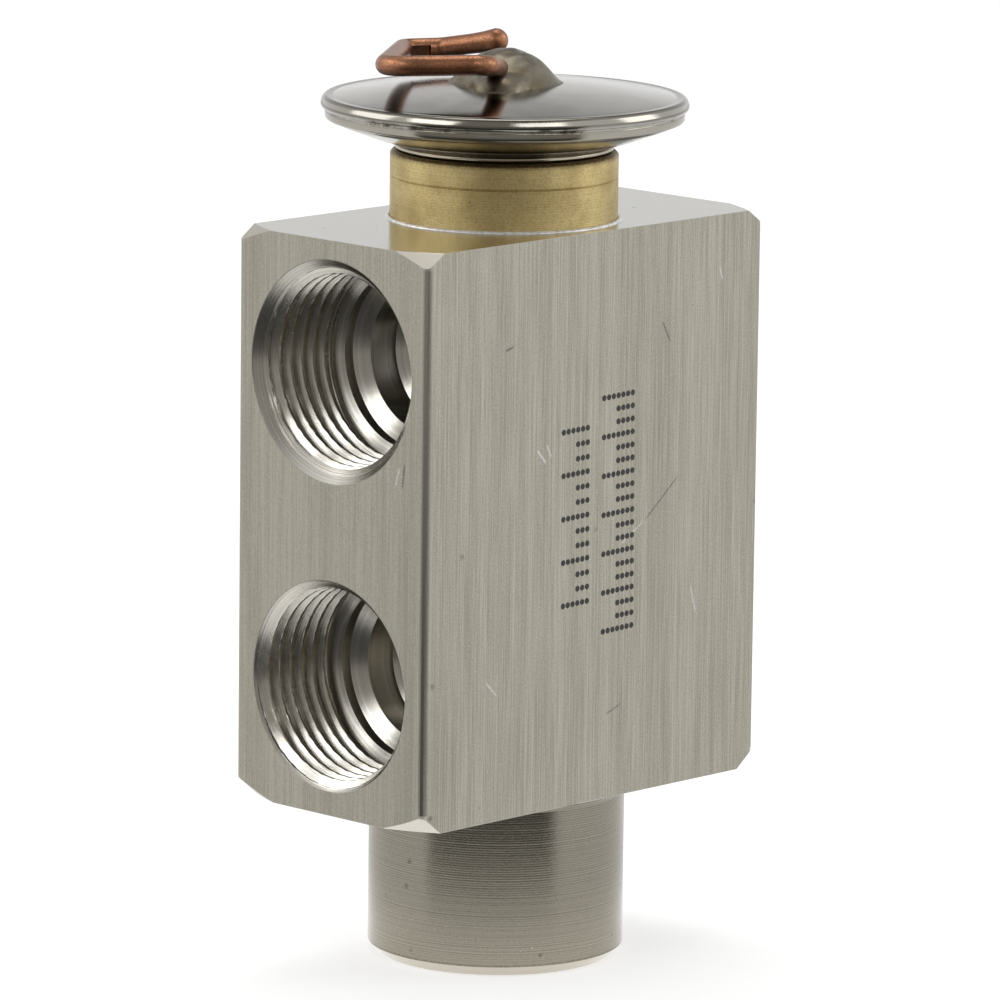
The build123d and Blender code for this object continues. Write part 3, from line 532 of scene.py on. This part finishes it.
def port_thread(name, side, height, mouth, start):
    """Helical thread: radius is a 60 degree profile of depth / pitch minus the turn's share.

    The countersunk mouth cuts the crests back to a 45 degree cone, and the crests fade out
    over the last third of a pitch.
    """
    turn = np.linspace(0, 2 * np.pi, 240, endpoint=False)
    depth = np.linspace(mouth - thread_nominal + 0.02, thread_end, 260)
    phase = (depth[:, None] - start) / thread_pitch - side * turn[None, :] / (2 * np.pi)
    share = np.abs((phase % 1.0) - 0.5) * 2.0
    rise = np.clip((share - 0.14) / 0.66, 0.0, 1.0)
    inner = thread_root - (thread_root - thread_crest) * rise
    inner = np.maximum(inner, (mouth - depth)[:, None])
    fade = np.clip((depth - thread_end + 0.35) / 0.35, 0.0, 1.0)[:, None]
    inner = np.minimum(inner + fade * (thread_root - inner), thread_root)
    inner[0] = inner[-1] = thread_root
    wall = np.full((2, turn.size), thread_root + 0.01)
    radius = np.concatenate([inner, wall])
    depths = np.concatenate([depth, depth[[-1, 0]]])
    grid = np.stack([
        np.broadcast_to(side * (half_width - depths[:, None]), radius.shape),
        radius * np.cos(turn)[None, :],
        height + radius * np.sin(turn)[None, :]], axis=-1)
    piece = skin(name, grid, True)
    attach(piece, "valve")
    return piece


cut_thread, tree, shader = metal("cut_aluminium_thread", 0.16)
place, x, y, z, radius = millimetres(tree)
chatter = use_group(tree, turning_lines, {"Place": place, "Feed": x}, fineness=2.2)
colour = mixed(tree, ramp(tree, chatter["Lines"], 0.35, 0.65),
               (0.50, 0.47, 0.41), (0.72, 0.70, 0.64))
tree.links.new(colour, shader.inputs["Base Color"])
tree.links.new(ramp(tree, chatter["Smudges"], 0.3, 0.7, 0.13, 0.30), shader.inputs["Roughness"])
bump(tree, shader, chatter["Lines"], 0.35, 0.00004)
for name, side, height, mouth, start in [
        ("suction_thread_a", -1, 59.36, 10.72, 0.70), ("inlet_thread", -1, 29.2, 10.22, 0.95),
        ("suction_thread_b", 1, 59.36, 10.72, 0.2), ("outlet_thread", 1, 34.7, 10.22, 0.9)]:
    port_thread(name, side, height, mouth, start).data.materials.append(cut_thread)

# ------------------------------------------------------------------ ink marks
# Two rows of dots jetted on to the wide face in black ink: plain tick marks across each row.
ink_face = -half_depth
ink_radius = 0.29
dot_corners = 14


def ink_row(middle, top, bottom, dots, counts):
    """Centres of the dots of one row: ticks of counts dots across, spread from top to bottom."""
    heights = np.linspace(top, bottom, len(counts))
    step = 0.66
    centres = []
    for height, count in zip(heights, counts):
        offset = (np.arange(count) - (dots - 1) / 2) * step
        slant = (top - height) * 0.012
        centres.append(np.column_stack([middle + slant - offset, height - 0.02 * np.arange(count)]))
    return np.concatenate(centres)


centres = np.concatenate([
    ink_row(2.95, 55.9, 33.2, 7, [7, 4, 4, 7, 4, 4, 7, 4, 4, 7, 4, 4, 7, 4, 4, 7, 4, 4, 7]),
    ink_row(-2.9, 53.2, 36.4, 6, [6, 3, 3, 6, 3, 3, 6, 3, 3, 6, 3, 3, 6])])
rim = np.linspace(0, 2 * np.pi, dot_corners, endpoint=False)
disc = np.stack([np.cos(rim), np.sin(rim)], axis=1) * ink_radius
flat = centres[:, None, :] + disc[None, :, :]
layers = [np.concatenate([flat[..., :1], np.full(flat[..., :1].shape, depth), flat[..., 1:]], axis=-1)
          for depth in (ink_face + 0.004, ink_face - 0.012)]
ink_points = np.concatenate([layer.reshape(-1, 3) for layer in layers]) * 0.001
count = len(centres) * dot_corners
base = np.arange(count)
following = (base // dot_corners) * dot_corners + (base % dot_corners + 1) % dot_corners
sides = np.stack([base, following, following + count, base + count], axis=1)
ends = base.reshape(-1, dot_corners)
ink_faces = sides.tolist() + ends[:, ::-1].tolist() + (ends + count).tolist()
ink_mesh = bpy.data.meshes.new("ink_marks")
ink_mesh.from_pydata(ink_points.tolist(), [], ink_faces)
turn_outwards(ink_mesh, False)
ink_marks = new_object("ink_marks", ink_mesh)
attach(ink_marks, "valve")
ink, tree, shader = new_material("jetted_ink")
place, x, y, z, radius = millimetres(tree)
worn = noise(tree, place, 3.0, 3.0)
tree.links.new(mixed(tree, ramp(tree, worn, 0.4, 0.75), (0.012, 0.010, 0.009), (0.035, 0.031, 0.028)),
               shader.inputs["Base Color"])
tree.links.new(ramp(tree, worn, 0.3, 0.7, 0.4, 0.6), shader.inputs["Roughness"])
ink_mesh.materials.append(ink)

# ------------------------------------------------------------------ brass collar
# Turned from free-cutting brass: a threaded nose in the block, a plain barrel with one
# scribed line, and a socket that holds the neck of the power head.
collar_profile = np.array([
    (6.5, 68.4), (8.57, 68.4), (8.97, 68.8), (8.97, 71.7), (10.86, 71.7), (10.95, 71.79),
    (10.95, 75.85), (10.86, 75.95), (10.95, 76.05),
    (10.95, 78.05), (10.92, 78.15), (10.66, 78.42), (10.56, 78.45), (9.98, 78.45),
    (9.90, 78.43), (9.65, 78.15), (9.65, 75.2), (6.5, 75.2)])


def lathe_turn(name, profile, columns=256):
    """Closed ring: an outline of (radius, height) points in millimetres, carried round the axis."""
    turn = np.linspace(0, 2 * np.pi, columns, endpoint=False)
    radius = profile[:, 0][:, None]
    grid = np.stack([radius * np.cos(turn)[None, :], radius * np.sin(turn)[None, :],
                     np.broadcast_to(profile[:, 1][:, None], (len(profile), columns))], axis=-1)
    return skin(name, grid, True)


collar = lathe_turn("brass_collar", collar_profile)
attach(collar, "valve")
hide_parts("head_collar")


def brass_finish(name, roughness, fineness):
    """Turned brass: fine rings, tarnish in soft patches, small dark specks."""
    material, tree, shader = metal(name, roughness)
    place, x, y, z, radius = millimetres(tree)
    cut = use_group(tree, turning_lines, {"Place": place, "Feed": z}, fineness=fineness)
    marks = use_group(tree, specks, {"Place": place}, spacing=0.7, size=0.24, share=0.6)["Mask"]
    mottle = noise(tree, place, 4.5, 5.0, 0.7)
    bright = mixed(tree, ramp(tree, cut["Lines"], 0.34, 0.66),
                   (0.44, 0.345, 0.155), (0.66, 0.535, 0.265))
    tarnish = ramp(tree, cut["Smudges"], 0.42, 0.70, 0.0, 0.55)
    colour = mixed(tree, tarnish, bright, (0.37, 0.275, 0.125))
    colour = mixed(tree, ramp(tree, mottle, 0.48, 0.66, 0.0, 0.6), colour, (0.29, 0.205, 0.085))
    # Darker towards the top: a mottled dark band round the collar's mouth, under the head.
    darker_mouth_band = product(tree, ramp(tree, z, 77.75, 78.25),
                         ramp(tree, mottle, 0.35, 0.55, 0.4, 0.9))
    colour = mixed(tree, darker_mouth_band, colour, (0.15, 0.11, 0.055))
    colour = tinted(tree, colour, marks, 0.6, (0.12, 0.08, 0.03))
    tree.links.new(colour, shader.inputs["Base Color"])
    tree.links.new(ramp(tree, cut["Smudges"], 0.3, 0.7, roughness - 0.08, roughness + 0.1),
                   shader.inputs["Roughness"])
    bump(tree, shader, cut["Lines"], 0.3, 0.00005)
    return material


collar.data.materials.append(brass_finish("turned_brass", 0.46, 2.0))

# The block's top is spot faced under the collar, which leaves a fine lip round its foot. It carries a
# painted highlight: near-white and only half metal, it shows bright from every side.
lip = lathe_turn("spot_face_lip", np.array([
    (10.97, 71.86), (10.98, 72.05), (11.03, 72.10), (11.12, 72.11), (11.24, 72.05),
    (11.34, 71.95), (11.38, 71.86)]))
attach(lip, "valve")
lip_painted_bright, tree, shader = metal("lip_with_painted_highlight", 0.35)
place, x, y, z, radius = millimetres(tree)
worn = noise(tree, place, 1.8, 4.0)
tree.links.new(mixed(tree, ramp(tree, worn, 0.35, 0.65), (0.66, 0.65, 0.61), (0.93, 0.92, 0.90)),
               shader.inputs["Base Color"])
# Only half metal, so the lip's near-white colour shows as a painted highlight.
shader.inputs["Metallic"].default_value = 0.45
lip.data.materials.append(lip_painted_bright)

# ------------------------------------------------------------------ power head
# Two steel pressings with the diaphragm between them: a flanged cone below and a crowned
# cover above, rolled together round a thick rim and polished.


def soften(outline, times=2):
    """Rounds an outline's corners by cutting a fifth off both ends of each side, some times over."""
    for _ in range(times):
        following = np.roll(outline, -1, axis=0)
        cut = np.stack([outline * 0.8 + following * 0.2, outline * 0.2 + following * 0.8], axis=1)
        outline = cut.reshape(-1, 2)
    return outline


crown_edge = 16.25
crown_top = 85.057
crown_radius = 94.43


def crown_height(radius):
    """Height of the cover's spherical crown at a distance from the axis."""
    return crown_top - crown_radius + np.sqrt(crown_radius ** 2 - radius ** 2)


out = np.linspace(1.03, crown_edge, 40)
crown = np.column_stack([out, crown_height(out)])
# The roll's section: the direction it faces goes from 88 to -88 degrees, with tight bends above
# and below and an almost flat band between 24 and 16 degrees.
faced = np.radians(np.concatenate([
    np.linspace(88, 24, 12), np.linspace(23, 16, 8), np.linspace(8, -88, 14)]))
bend_radius = np.where(faced > np.radians(23.9), 0.5, np.where(faced > np.radians(15.9), 3.0, 0.423))
bend_length = bend_radius[1:] * -np.diff(faced)
halfway = (faced[1:] + faced[:-1]) / 2
rolled = np.column_stack([
    17.0456 + np.concatenate([[0], np.cumsum(bend_length * np.sin(halfway))]),
    83.645 - np.concatenate([[0], np.cumsum(bend_length * np.cos(halfway))])])
seam = np.array([(16.42, 83.60), (16.62, 83.615), (16.85, 83.63)])
inner = np.linspace(15.4, 1.03, 20)
lining = np.column_stack([inner, crown_height(inner) - 0.8])
head_top = lathe_turn("crowned_cover", np.concatenate([
    crown, seam, rolled, np.array([(17.0, 82.42), (15.4, 82.42), (15.4, 82.7)]), lining]), 320)
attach(head_top, "valve")
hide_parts("head_cover")

base_outline = np.array([
    (8.8, 75.25), (8.82, 75.22), (9.56, 75.22), (9.6, 75.26), (9.6, 78.40), (9.62, 78.48),
    (10.15, 78.50), (10.42, 78.58), (10.52, 78.76), (10.50, 78.95), (10.36, 79.06), (10.34, 79.14),
    (10.70, 79.22), (12.5, 79.69), (14.5, 80.41),
    (16.1, 81.02), (16.3, 81.14), (16.5, 81.30), (16.95, 81.36), (17.2, 81.50), (17.25, 81.72),
    (17.25, 82.205), (17.2, 82.215), (15.42, 82.215), (15.4, 82.2), (15.2, 81.60), (15.1, 81.5),
    (10.1, 79.75), (9.9, 79.6), (8.82, 79.0), (8.8, 78.9)])
head_bottom = lathe_turn("flanged_cone", soften(base_outline), 320)
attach(head_bottom, "valve")
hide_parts("head_base")

pressed_steel, tree, shader = metal("polished_pressed_steel", 0.1)
place, x, y, z, radius = millimetres(tree)
grain = noise(tree, place, 6.0, 5.0, 0.65)
stain = noise(tree, place, 0.16, 3.0, distortion=0.6)
marks = use_group(tree, specks, {"Place": place}, spacing=1.8, size=0.16, share=0.35)["Mask"]
colour = mixed(tree, ramp(tree, stain, 0.40, 0.68), (0.43, 0.42, 0.39), (0.35, 0.33, 0.29))
colour = mixed(tree, ramp(tree, grain, 0.45, 0.8, 0.0, 0.35), colour, (0.33, 0.31, 0.28))
colour = tinted(tree, colour, marks, 0.6, (0.10, 0.09, 0.08))
# Painted shade: the underside of the head, below the rim, is tinted darker and browner.
painted_shade_underneath = calc(tree, "LESS_THAN", z, 82.3)
colour = tinted(tree, colour, painted_shade_underneath, 0.45, (0.30, 0.27, 0.21))
# The roll is tinted much darker and browner than the rest of the pressing.
on_roll = product(tree, ramp(tree, radius, 16.30, 16.60), ramp(tree, z, 82.60, 82.85))
roll_darkening = ramp(tree, stain, 0.35, 0.6, 0.8, 0.95)
colour = tinted(tree, colour, on_roll, roll_darkening, (0.15, 0.137, 0.112))
# Painted highlight: the roll's flat outer band is tinted lighter, where the lamps' streak falls.
painted_bright_band = product(tree, ramp(tree, radius, 17.40, 17.46), ramp(tree, z, 82.90, 83.00),
                  ramp(tree, z, 83.36, 83.42, 1.0, 0.0))
colour = tinted(tree, colour, painted_bright_band, 0.9, (0.34, 0.325, 0.29))
ragged = noise(tree, place, 0.55, 5.0, 0.7)
from_seam = calc(tree, "ABSOLUTE", calc(tree, "SUBTRACT", z, 82.42))
seam_dirt = product(
    tree, ramp(tree, radius, 16.5, 16.7), ramp(tree, from_seam, 0.16, 0.34, 1.0, 0.0),
    ramp(tree, ragged, 0.45, 0.57), ramp(tree, stain, 0.46, 0.56, 0.1, 0.95))
colour = mixed(tree, seam_dirt, colour, (0.045, 0.038, 0.03))
# Painted shade: a dark brown band low on the cone, just above the neck.
painted_shade_at_neck = product(tree, ramp(tree, z, 79.0, 79.08), ramp(tree, z, 79.6, 80.2, 1.0, 0.0))
colour = tinted(tree, colour, painted_shade_at_neck, 0.8, (0.12, 0.09, 0.055))
# Painted highlight: the knee where the cone meets the neck, and the neck below it, are tinted light.
painted_highlight_on_knee = ramp(tree, z, 79.0, 79.06, 1.0, 0.0)
colour = tinted(tree, colour, painted_highlight_on_knee, 0.8, (0.44, 0.40, 0.31))
tree.links.new(colour, shader.inputs["Base Color"])
tree.links.new(ramp(tree, grain, 0.3, 0.75, 0.06, 0.14), shader.inputs["Roughness"])
bump(tree, shader, grain, 0.16, 0.00004)
head_top.data.materials.append(pressed_steel)
head_bottom.data.materials.append(pressed_steel)
give("diaphragm", pressed_steel)
give("diaphragm_plate", pressed_steel)

# ------------------------------------------------------------------ charge tube
# Soft copper capillary through which the head was filled: up out of the solder, round in an
# open loop over the cover, pinched shut behind its rear corner and melted to a bead.
loop_turn = np.radians(-45.7)
tube_radius = 1.0
bead_length = 1.18
swell_length = 3.2
pinch_half = 0.40
route = np.array([
    (0.0, 0.0, 84.3), (0.0, 0.0, 85.857), (-1.75, -9.3, 87.707), (-11.6, -8.6, 87.357),
    (-9.9, 12.2, 86.457), (-6.2, 13.0, 86.507), (-0.9, 9.8, 87.657)])
bends = [1.05, 1.7, 2.9, 1.4, 1.7]


def bent_line(points, radii):
    """Straight runs joined by circular bends.

    A bend touches each of its runs at radius / tan(half of the angle between them) from the corner.
    """
    pieces = [points[:1]]
    for before, at, after, radius in zip(points[:-2], points[1:-1], points[2:], radii):
        back = (before - at) / np.linalg.norm(before - at)
        ahead = (after - at) / np.linalg.norm(after - at)
        half = np.arccos(np.clip(back @ ahead, -1, 1)) / 2
        middle = (back + ahead) / np.linalg.norm(back + ahead)
        centre = at + middle * radius / np.sin(half)
        start = at + back * radius / np.tan(half) - centre
        end = at + ahead * radius / np.tan(half) - centre
        sweep = np.pi - 2 * half
        share = np.linspace(0, 1, 15)[:, None]
        arc = (start * np.sin((1 - share) * sweep) + end * np.sin(share * sweep)) / np.sin(sweep)
        pieces.append(centre + arc)
    pieces.append(points[-1:])
    return np.concatenate(pieces)


def evenly(line, spacing, extra):
    """The line sampled at even spacing along its length, and carried on by extra at its end."""
    step = np.linalg.norm(np.diff(line, axis=0), axis=1)
    length = np.concatenate([[0], np.cumsum(step)])
    at = np.arange(0, length[-1], spacing)
    even = np.stack([np.interp(at, length, line[:, axis]) for axis in range(3)], axis=1)
    ahead = (line[-1] - line[-2]) / step[-1]
    more = np.linspace(0, extra, int(extra / spacing) + 1)[:, None]
    return np.concatenate([even, line[-1] + ahead * more])


def carried_frames(line):
    """Tangent, level side and upright of a line that never runs straight up for long."""
    tangent = np.gradient(line, axis=0)
    tangent /= np.linalg.norm(tangent, axis=1)[:, None]
    side = np.empty_like(tangent)
    side[0] = (1.0, 0.0, 0.0)
    for index in range(1, len(line)):
        carried = side[index - 1] - tangent[index] * (side[index - 1] @ tangent[index])
        side[index] = carried / np.linalg.norm(carried)
    return tangent, side, np.cross(tangent, side)


line = evenly(bent_line(route, bends), 0.12, bead_length)
tangent, side, upright_side = carried_frames(line)
covered = np.linalg.norm(np.diff(line, axis=0), axis=1).cumsum()
covered = np.concatenate([[0], covered])
past_bead = covered - (covered[-1] - bead_length)
swell = 0.22 * np.clip((past_bead + swell_length) / swell_length, 0, 1) ** 2
tube_size = tube_radius - 0.02 + swell
cap = np.clip(past_bead / bead_length, 0, 1)
tube_size = tube_size * np.sqrt(np.clip(1 - cap ** 2, 0, 1))
tube_size[0] = 0.0
around = np.linspace(0, 2 * np.pi, 48, endpoint=False)
ring = (side[:, None, :] * np.cos(around)[None, :, None]
        + upright_side[:, None, :] * np.sin(around)[None, :, None])
tube_grid = line[:, None, :] + ring * tube_size[:, None, None]

# The pinching tool's two flats, square across the tube just past the rear corner.
corner = route[4]
run = (route[5] - route[4]) / np.linalg.norm(route[5] - route[4])
level_normal = np.array([-run[1], run[0], 0.0]) / np.hypot(run[0], run[1])
from_corner = tube_grid - corner
past = from_corner @ run
sideways = from_corner @ level_normal
height_over = from_corner[..., 2] - past * run[2]
near_corner = np.linalg.norm(line - corner, axis=1) < 4.0
pinched = (past > 0.35) & (past < 2.5) & (height_over < 0.30) & near_corner[:, None]
limit = np.clip(sideways, -pinch_half, pinch_half)
tube_grid = tube_grid + np.where(pinched, limit - sideways, 0.0)[..., None] * level_normal
spin = np.array([
    [np.cos(loop_turn), -np.sin(loop_turn), 0],
    [np.sin(loop_turn), np.cos(loop_turn), 0],
    [0, 0, 1]])
charge_tube = skin("copper_charge_tube", tube_grid @ spin.T, False)
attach(charge_tube, "valve")
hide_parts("charge_tube")

copper, tree, shader = metal("oxidised_copper", 0.35)
place, x, y, z, radius = millimetres(tree)
grains = noise(tree, place, 5.5, 4.0, 0.7)
patches = noise(tree, place, 0.55, 3.0)
colour = mixed(tree, ramp(tree, patches, 0.35, 0.68), (0.42, 0.19, 0.10), (0.27, 0.128, 0.072))
colour = mixed(tree, ramp(tree, grains, 0.42, 0.66, 0.0, 0.8), colour, (0.13, 0.062, 0.038))
# Painted shade: the sides of the tube that face downwards are darkened.
normal = tree.nodes.new("ShaderNodeTexCoord").outputs["Normal"]
facing_up = add_node(tree, "ShaderNodeSeparateXYZ", sources={0: normal}).outputs["Z"]
colour = mixed(tree, ramp(tree, facing_up, -0.8, 0.0, 0.8, 0.0), colour, (0.055, 0.028, 0.02))
from_pinch = add_node(
    tree, "ShaderNodeVectorMath", {"operation": "SUBTRACT"}, {1: tuple(spin @ corner)},
    {0: place}).outputs["Vector"]
beyond, aside = [
    add_node(tree, "ShaderNodeVectorMath", {"operation": "DOT_PRODUCT"}, {1: tuple(spin @ direction)},
             {0: from_pinch}).outputs["Value"] for direction in (run, level_normal)]
in_pinch = product(
    tree, calc(tree, "LESS_THAN", calc(tree, "ABSOLUTE", aside), pinch_half + 0.07),
    ramp(tree, beyond, 0.30, 0.45), ramp(tree, beyond, 2.3, 2.5, 1.0, 0.0),
    ramp(tree, z, corner[2] + 0.25, corner[2] + 0.38, 1.0, 0.0))
# Painted shade: the pinched flats are darkened, as a recess in shade.
colour = tinted(tree, colour, in_pinch, 0.85, (0.05, 0.026, 0.018))
tree.links.new(colour, shader.inputs["Base Color"])
tree.links.new(ramp(tree, grains, 0.3, 0.7, 0.22, 0.46), shader.inputs["Roughness"])
bump(tree, shader, grains, 0.35, 0.00008)
charge_tube.data.materials.append(copper)

# ------------------------------------------------------------------ solder
# Silver solder that sealed the tube into the cover: a crowned blob with a run along the
# tube on the near side, cooled to a slightly lumpy grey skin with olive flux stains.
dome_profile = np.array([
    (0.0, 3.10), (0.9, 3.05), (2.3, 2.66), (3.7, 1.76), (4.64, 0.72), (5.2, 0.24), (5.55, 0.0)])
bearing = np.linspace(0, 2 * np.pi, 160, endpoint=False)
near_side = -np.pi / 2 - 0.12
off = np.angle(np.exp(1j * (bearing - near_side)))
foot = 5.55 + 1.95 * np.exp(-(off / 0.40) ** 4)
share = np.linspace(0, 1, 60)[:, None]
distance = share * foot[None, :]
blob_x = distance * np.cos(bearing)[None, :]
blob_y = distance * np.sin(bearing)[None, :]
# The profile is sampled from side to side and smoothed, which leaves no crease on the dome.
across_dome = np.linspace(-8, 8, 641)
dome = np.interp(np.abs(across_dome), dome_profile[:, 0], dome_profile[:, 1])
dome = np.interp(distance, across_dome, np.convolve(dome, np.hanning(51) / 25.0, "same"))
bulge = 1 - ((blob_x + 0.6) / 3.0) ** 2 - ((blob_y + 4.3) / 3.3) ** 2
lobe = 1.45 * np.sqrt(np.clip(bulge, 0, None))
rise = np.log(np.exp(2.6 * dome) + np.exp(2.6 * lobe) - 1.0) / 2.6
lumps = (0.04 * np.sin(1.9 * blob_x + 0.7) * np.sin(1.6 * blob_y + 1.1)
         + 0.03 * np.sin(3.1 * blob_x - 2.3 * blob_y))
rise = (rise + lumps * np.minimum(rise, 1.0)) * (1 - share ** 24)
upper = crown_height(distance) + rise
lower = crown_height(distance[::-1]) - 0.06
blob = np.concatenate([
    np.stack([blob_x, blob_y, upper], axis=-1),
    np.stack([blob_x[::-1], blob_y[::-1], lower], axis=-1)])
solder_blob = skin("solder_blob", blob @ spin.T, False)
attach(solder_blob, "valve")
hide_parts("solder_dome")

solder_skin, tree, shader = metal("silver_solder_skin", 0.3)
place, x, y, z, radius = millimetres(tree)
blotch = noise(tree, place, 0.42, 3.0, distortion=0.8)
grains = noise(tree, place, 4.5, 4.0)
colour = mixed(tree, ramp(tree, blotch, 0.42, 0.62), (0.180, 0.160, 0.125), (0.160, 0.132, 0.085))
colour = mixed(tree, ramp(tree, grains, 0.5, 0.8, 0.0, 0.6), colour, (0.10, 0.08, 0.055))
tree.links.new(colour, shader.inputs["Base Color"])
tree.links.new(ramp(tree, blotch, 0.3, 0.7, 0.30, 0.44), shader.inputs["Roughness"])
bump(tree, shader, grains, 0.25, 0.00006)
solder_blob.data.materials.append(solder_skin)

# ------------------------------------------------------------------ metering and adjusting parts
# Inside the block: hard ground steel at the seat, ball, pin and spring, a brass screw and cup,
# black rubber rings, a moulded guide and the aluminium rod that senses the suction gas.


def ground_steel(name, colour, roughness):
    """Ground or drawn steel: faint rings and a soft variation of shade."""
    material, tree, shader = metal(name, roughness)
    place, x, y, z, radius = millimetres(tree)
    cut = use_group(tree, turning_lines, {"Place": place, "Feed": z}, fineness=1.6)
    dark = tuple(value * 0.72 for value in colour)
    tree.links.new(mixed(tree, ramp(tree, cut["Lines"], 0.3, 0.7), dark, colour),
                   shader.inputs["Base Color"])
    tree.links.new(ramp(tree, cut["Smudges"], 0.3, 0.7, roughness - 0.06, roughness + 0.1),
                   shader.inputs["Roughness"])
    bump(tree, shader, cut["Lines"], 0.2, 0.00003)
    return material


def moulded(name, colour, roughness):
    """Moulded rubber or plastic: a fine matt skin with a slight mottle."""
    material, tree, shader = new_material(name)
    place, x, y, z, radius = millimetres(tree)
    mottle = noise(tree, place, 2.5, 4.0)
    dark = tuple(value * 0.7 for value in colour)
    tree.links.new(mixed(tree, ramp(tree, mottle, 0.35, 0.65), dark, colour),
                   shader.inputs["Base Color"])
    tree.links.new(ramp(tree, mottle, 0.3, 0.7, roughness - 0.08, roughness + 0.08),
                   shader.inputs["Roughness"])
    bump(tree, shader, mottle, 0.2, 0.00004)
    return material


hard_steel = ground_steel("ground_stainless", (0.56, 0.55, 0.53), 0.2)
for name in ("orifice_seat", "valve_ball", "push_pin", "damper_ring"):
    give(name, hard_steel)
spring_wire = ground_steel("drawn_spring_wire", (0.40, 0.39, 0.38), 0.3)
for name in ("superheat_spring", "retaining_clip"):
    give(name, spring_wire)
plated = ground_steel("plated_steel", (0.62, 0.62, 0.60), 0.32)
for name in ("spring_seat", "seal_retainer"):
    give(name, plated)
screw_brass = brass_finish("screw_brass", 0.34, 1.0)
for name in ("adjusting_screw", "ball_holder"):
    give(name, screw_brass)
give("sensing_rod", ground_steel("turned_aluminium_rod", (0.72, 0.72, 0.71), 0.28))
rubber = moulded("seal_rubber", (0.035, 0.035, 0.035), 0.6)
for name in ("pin_seal", "screw_seal", "collar_seal"):
    give(name, rubber)
give("rod_guide", moulded("guide_plastic", (0.62, 0.60, 0.52), 0.5))
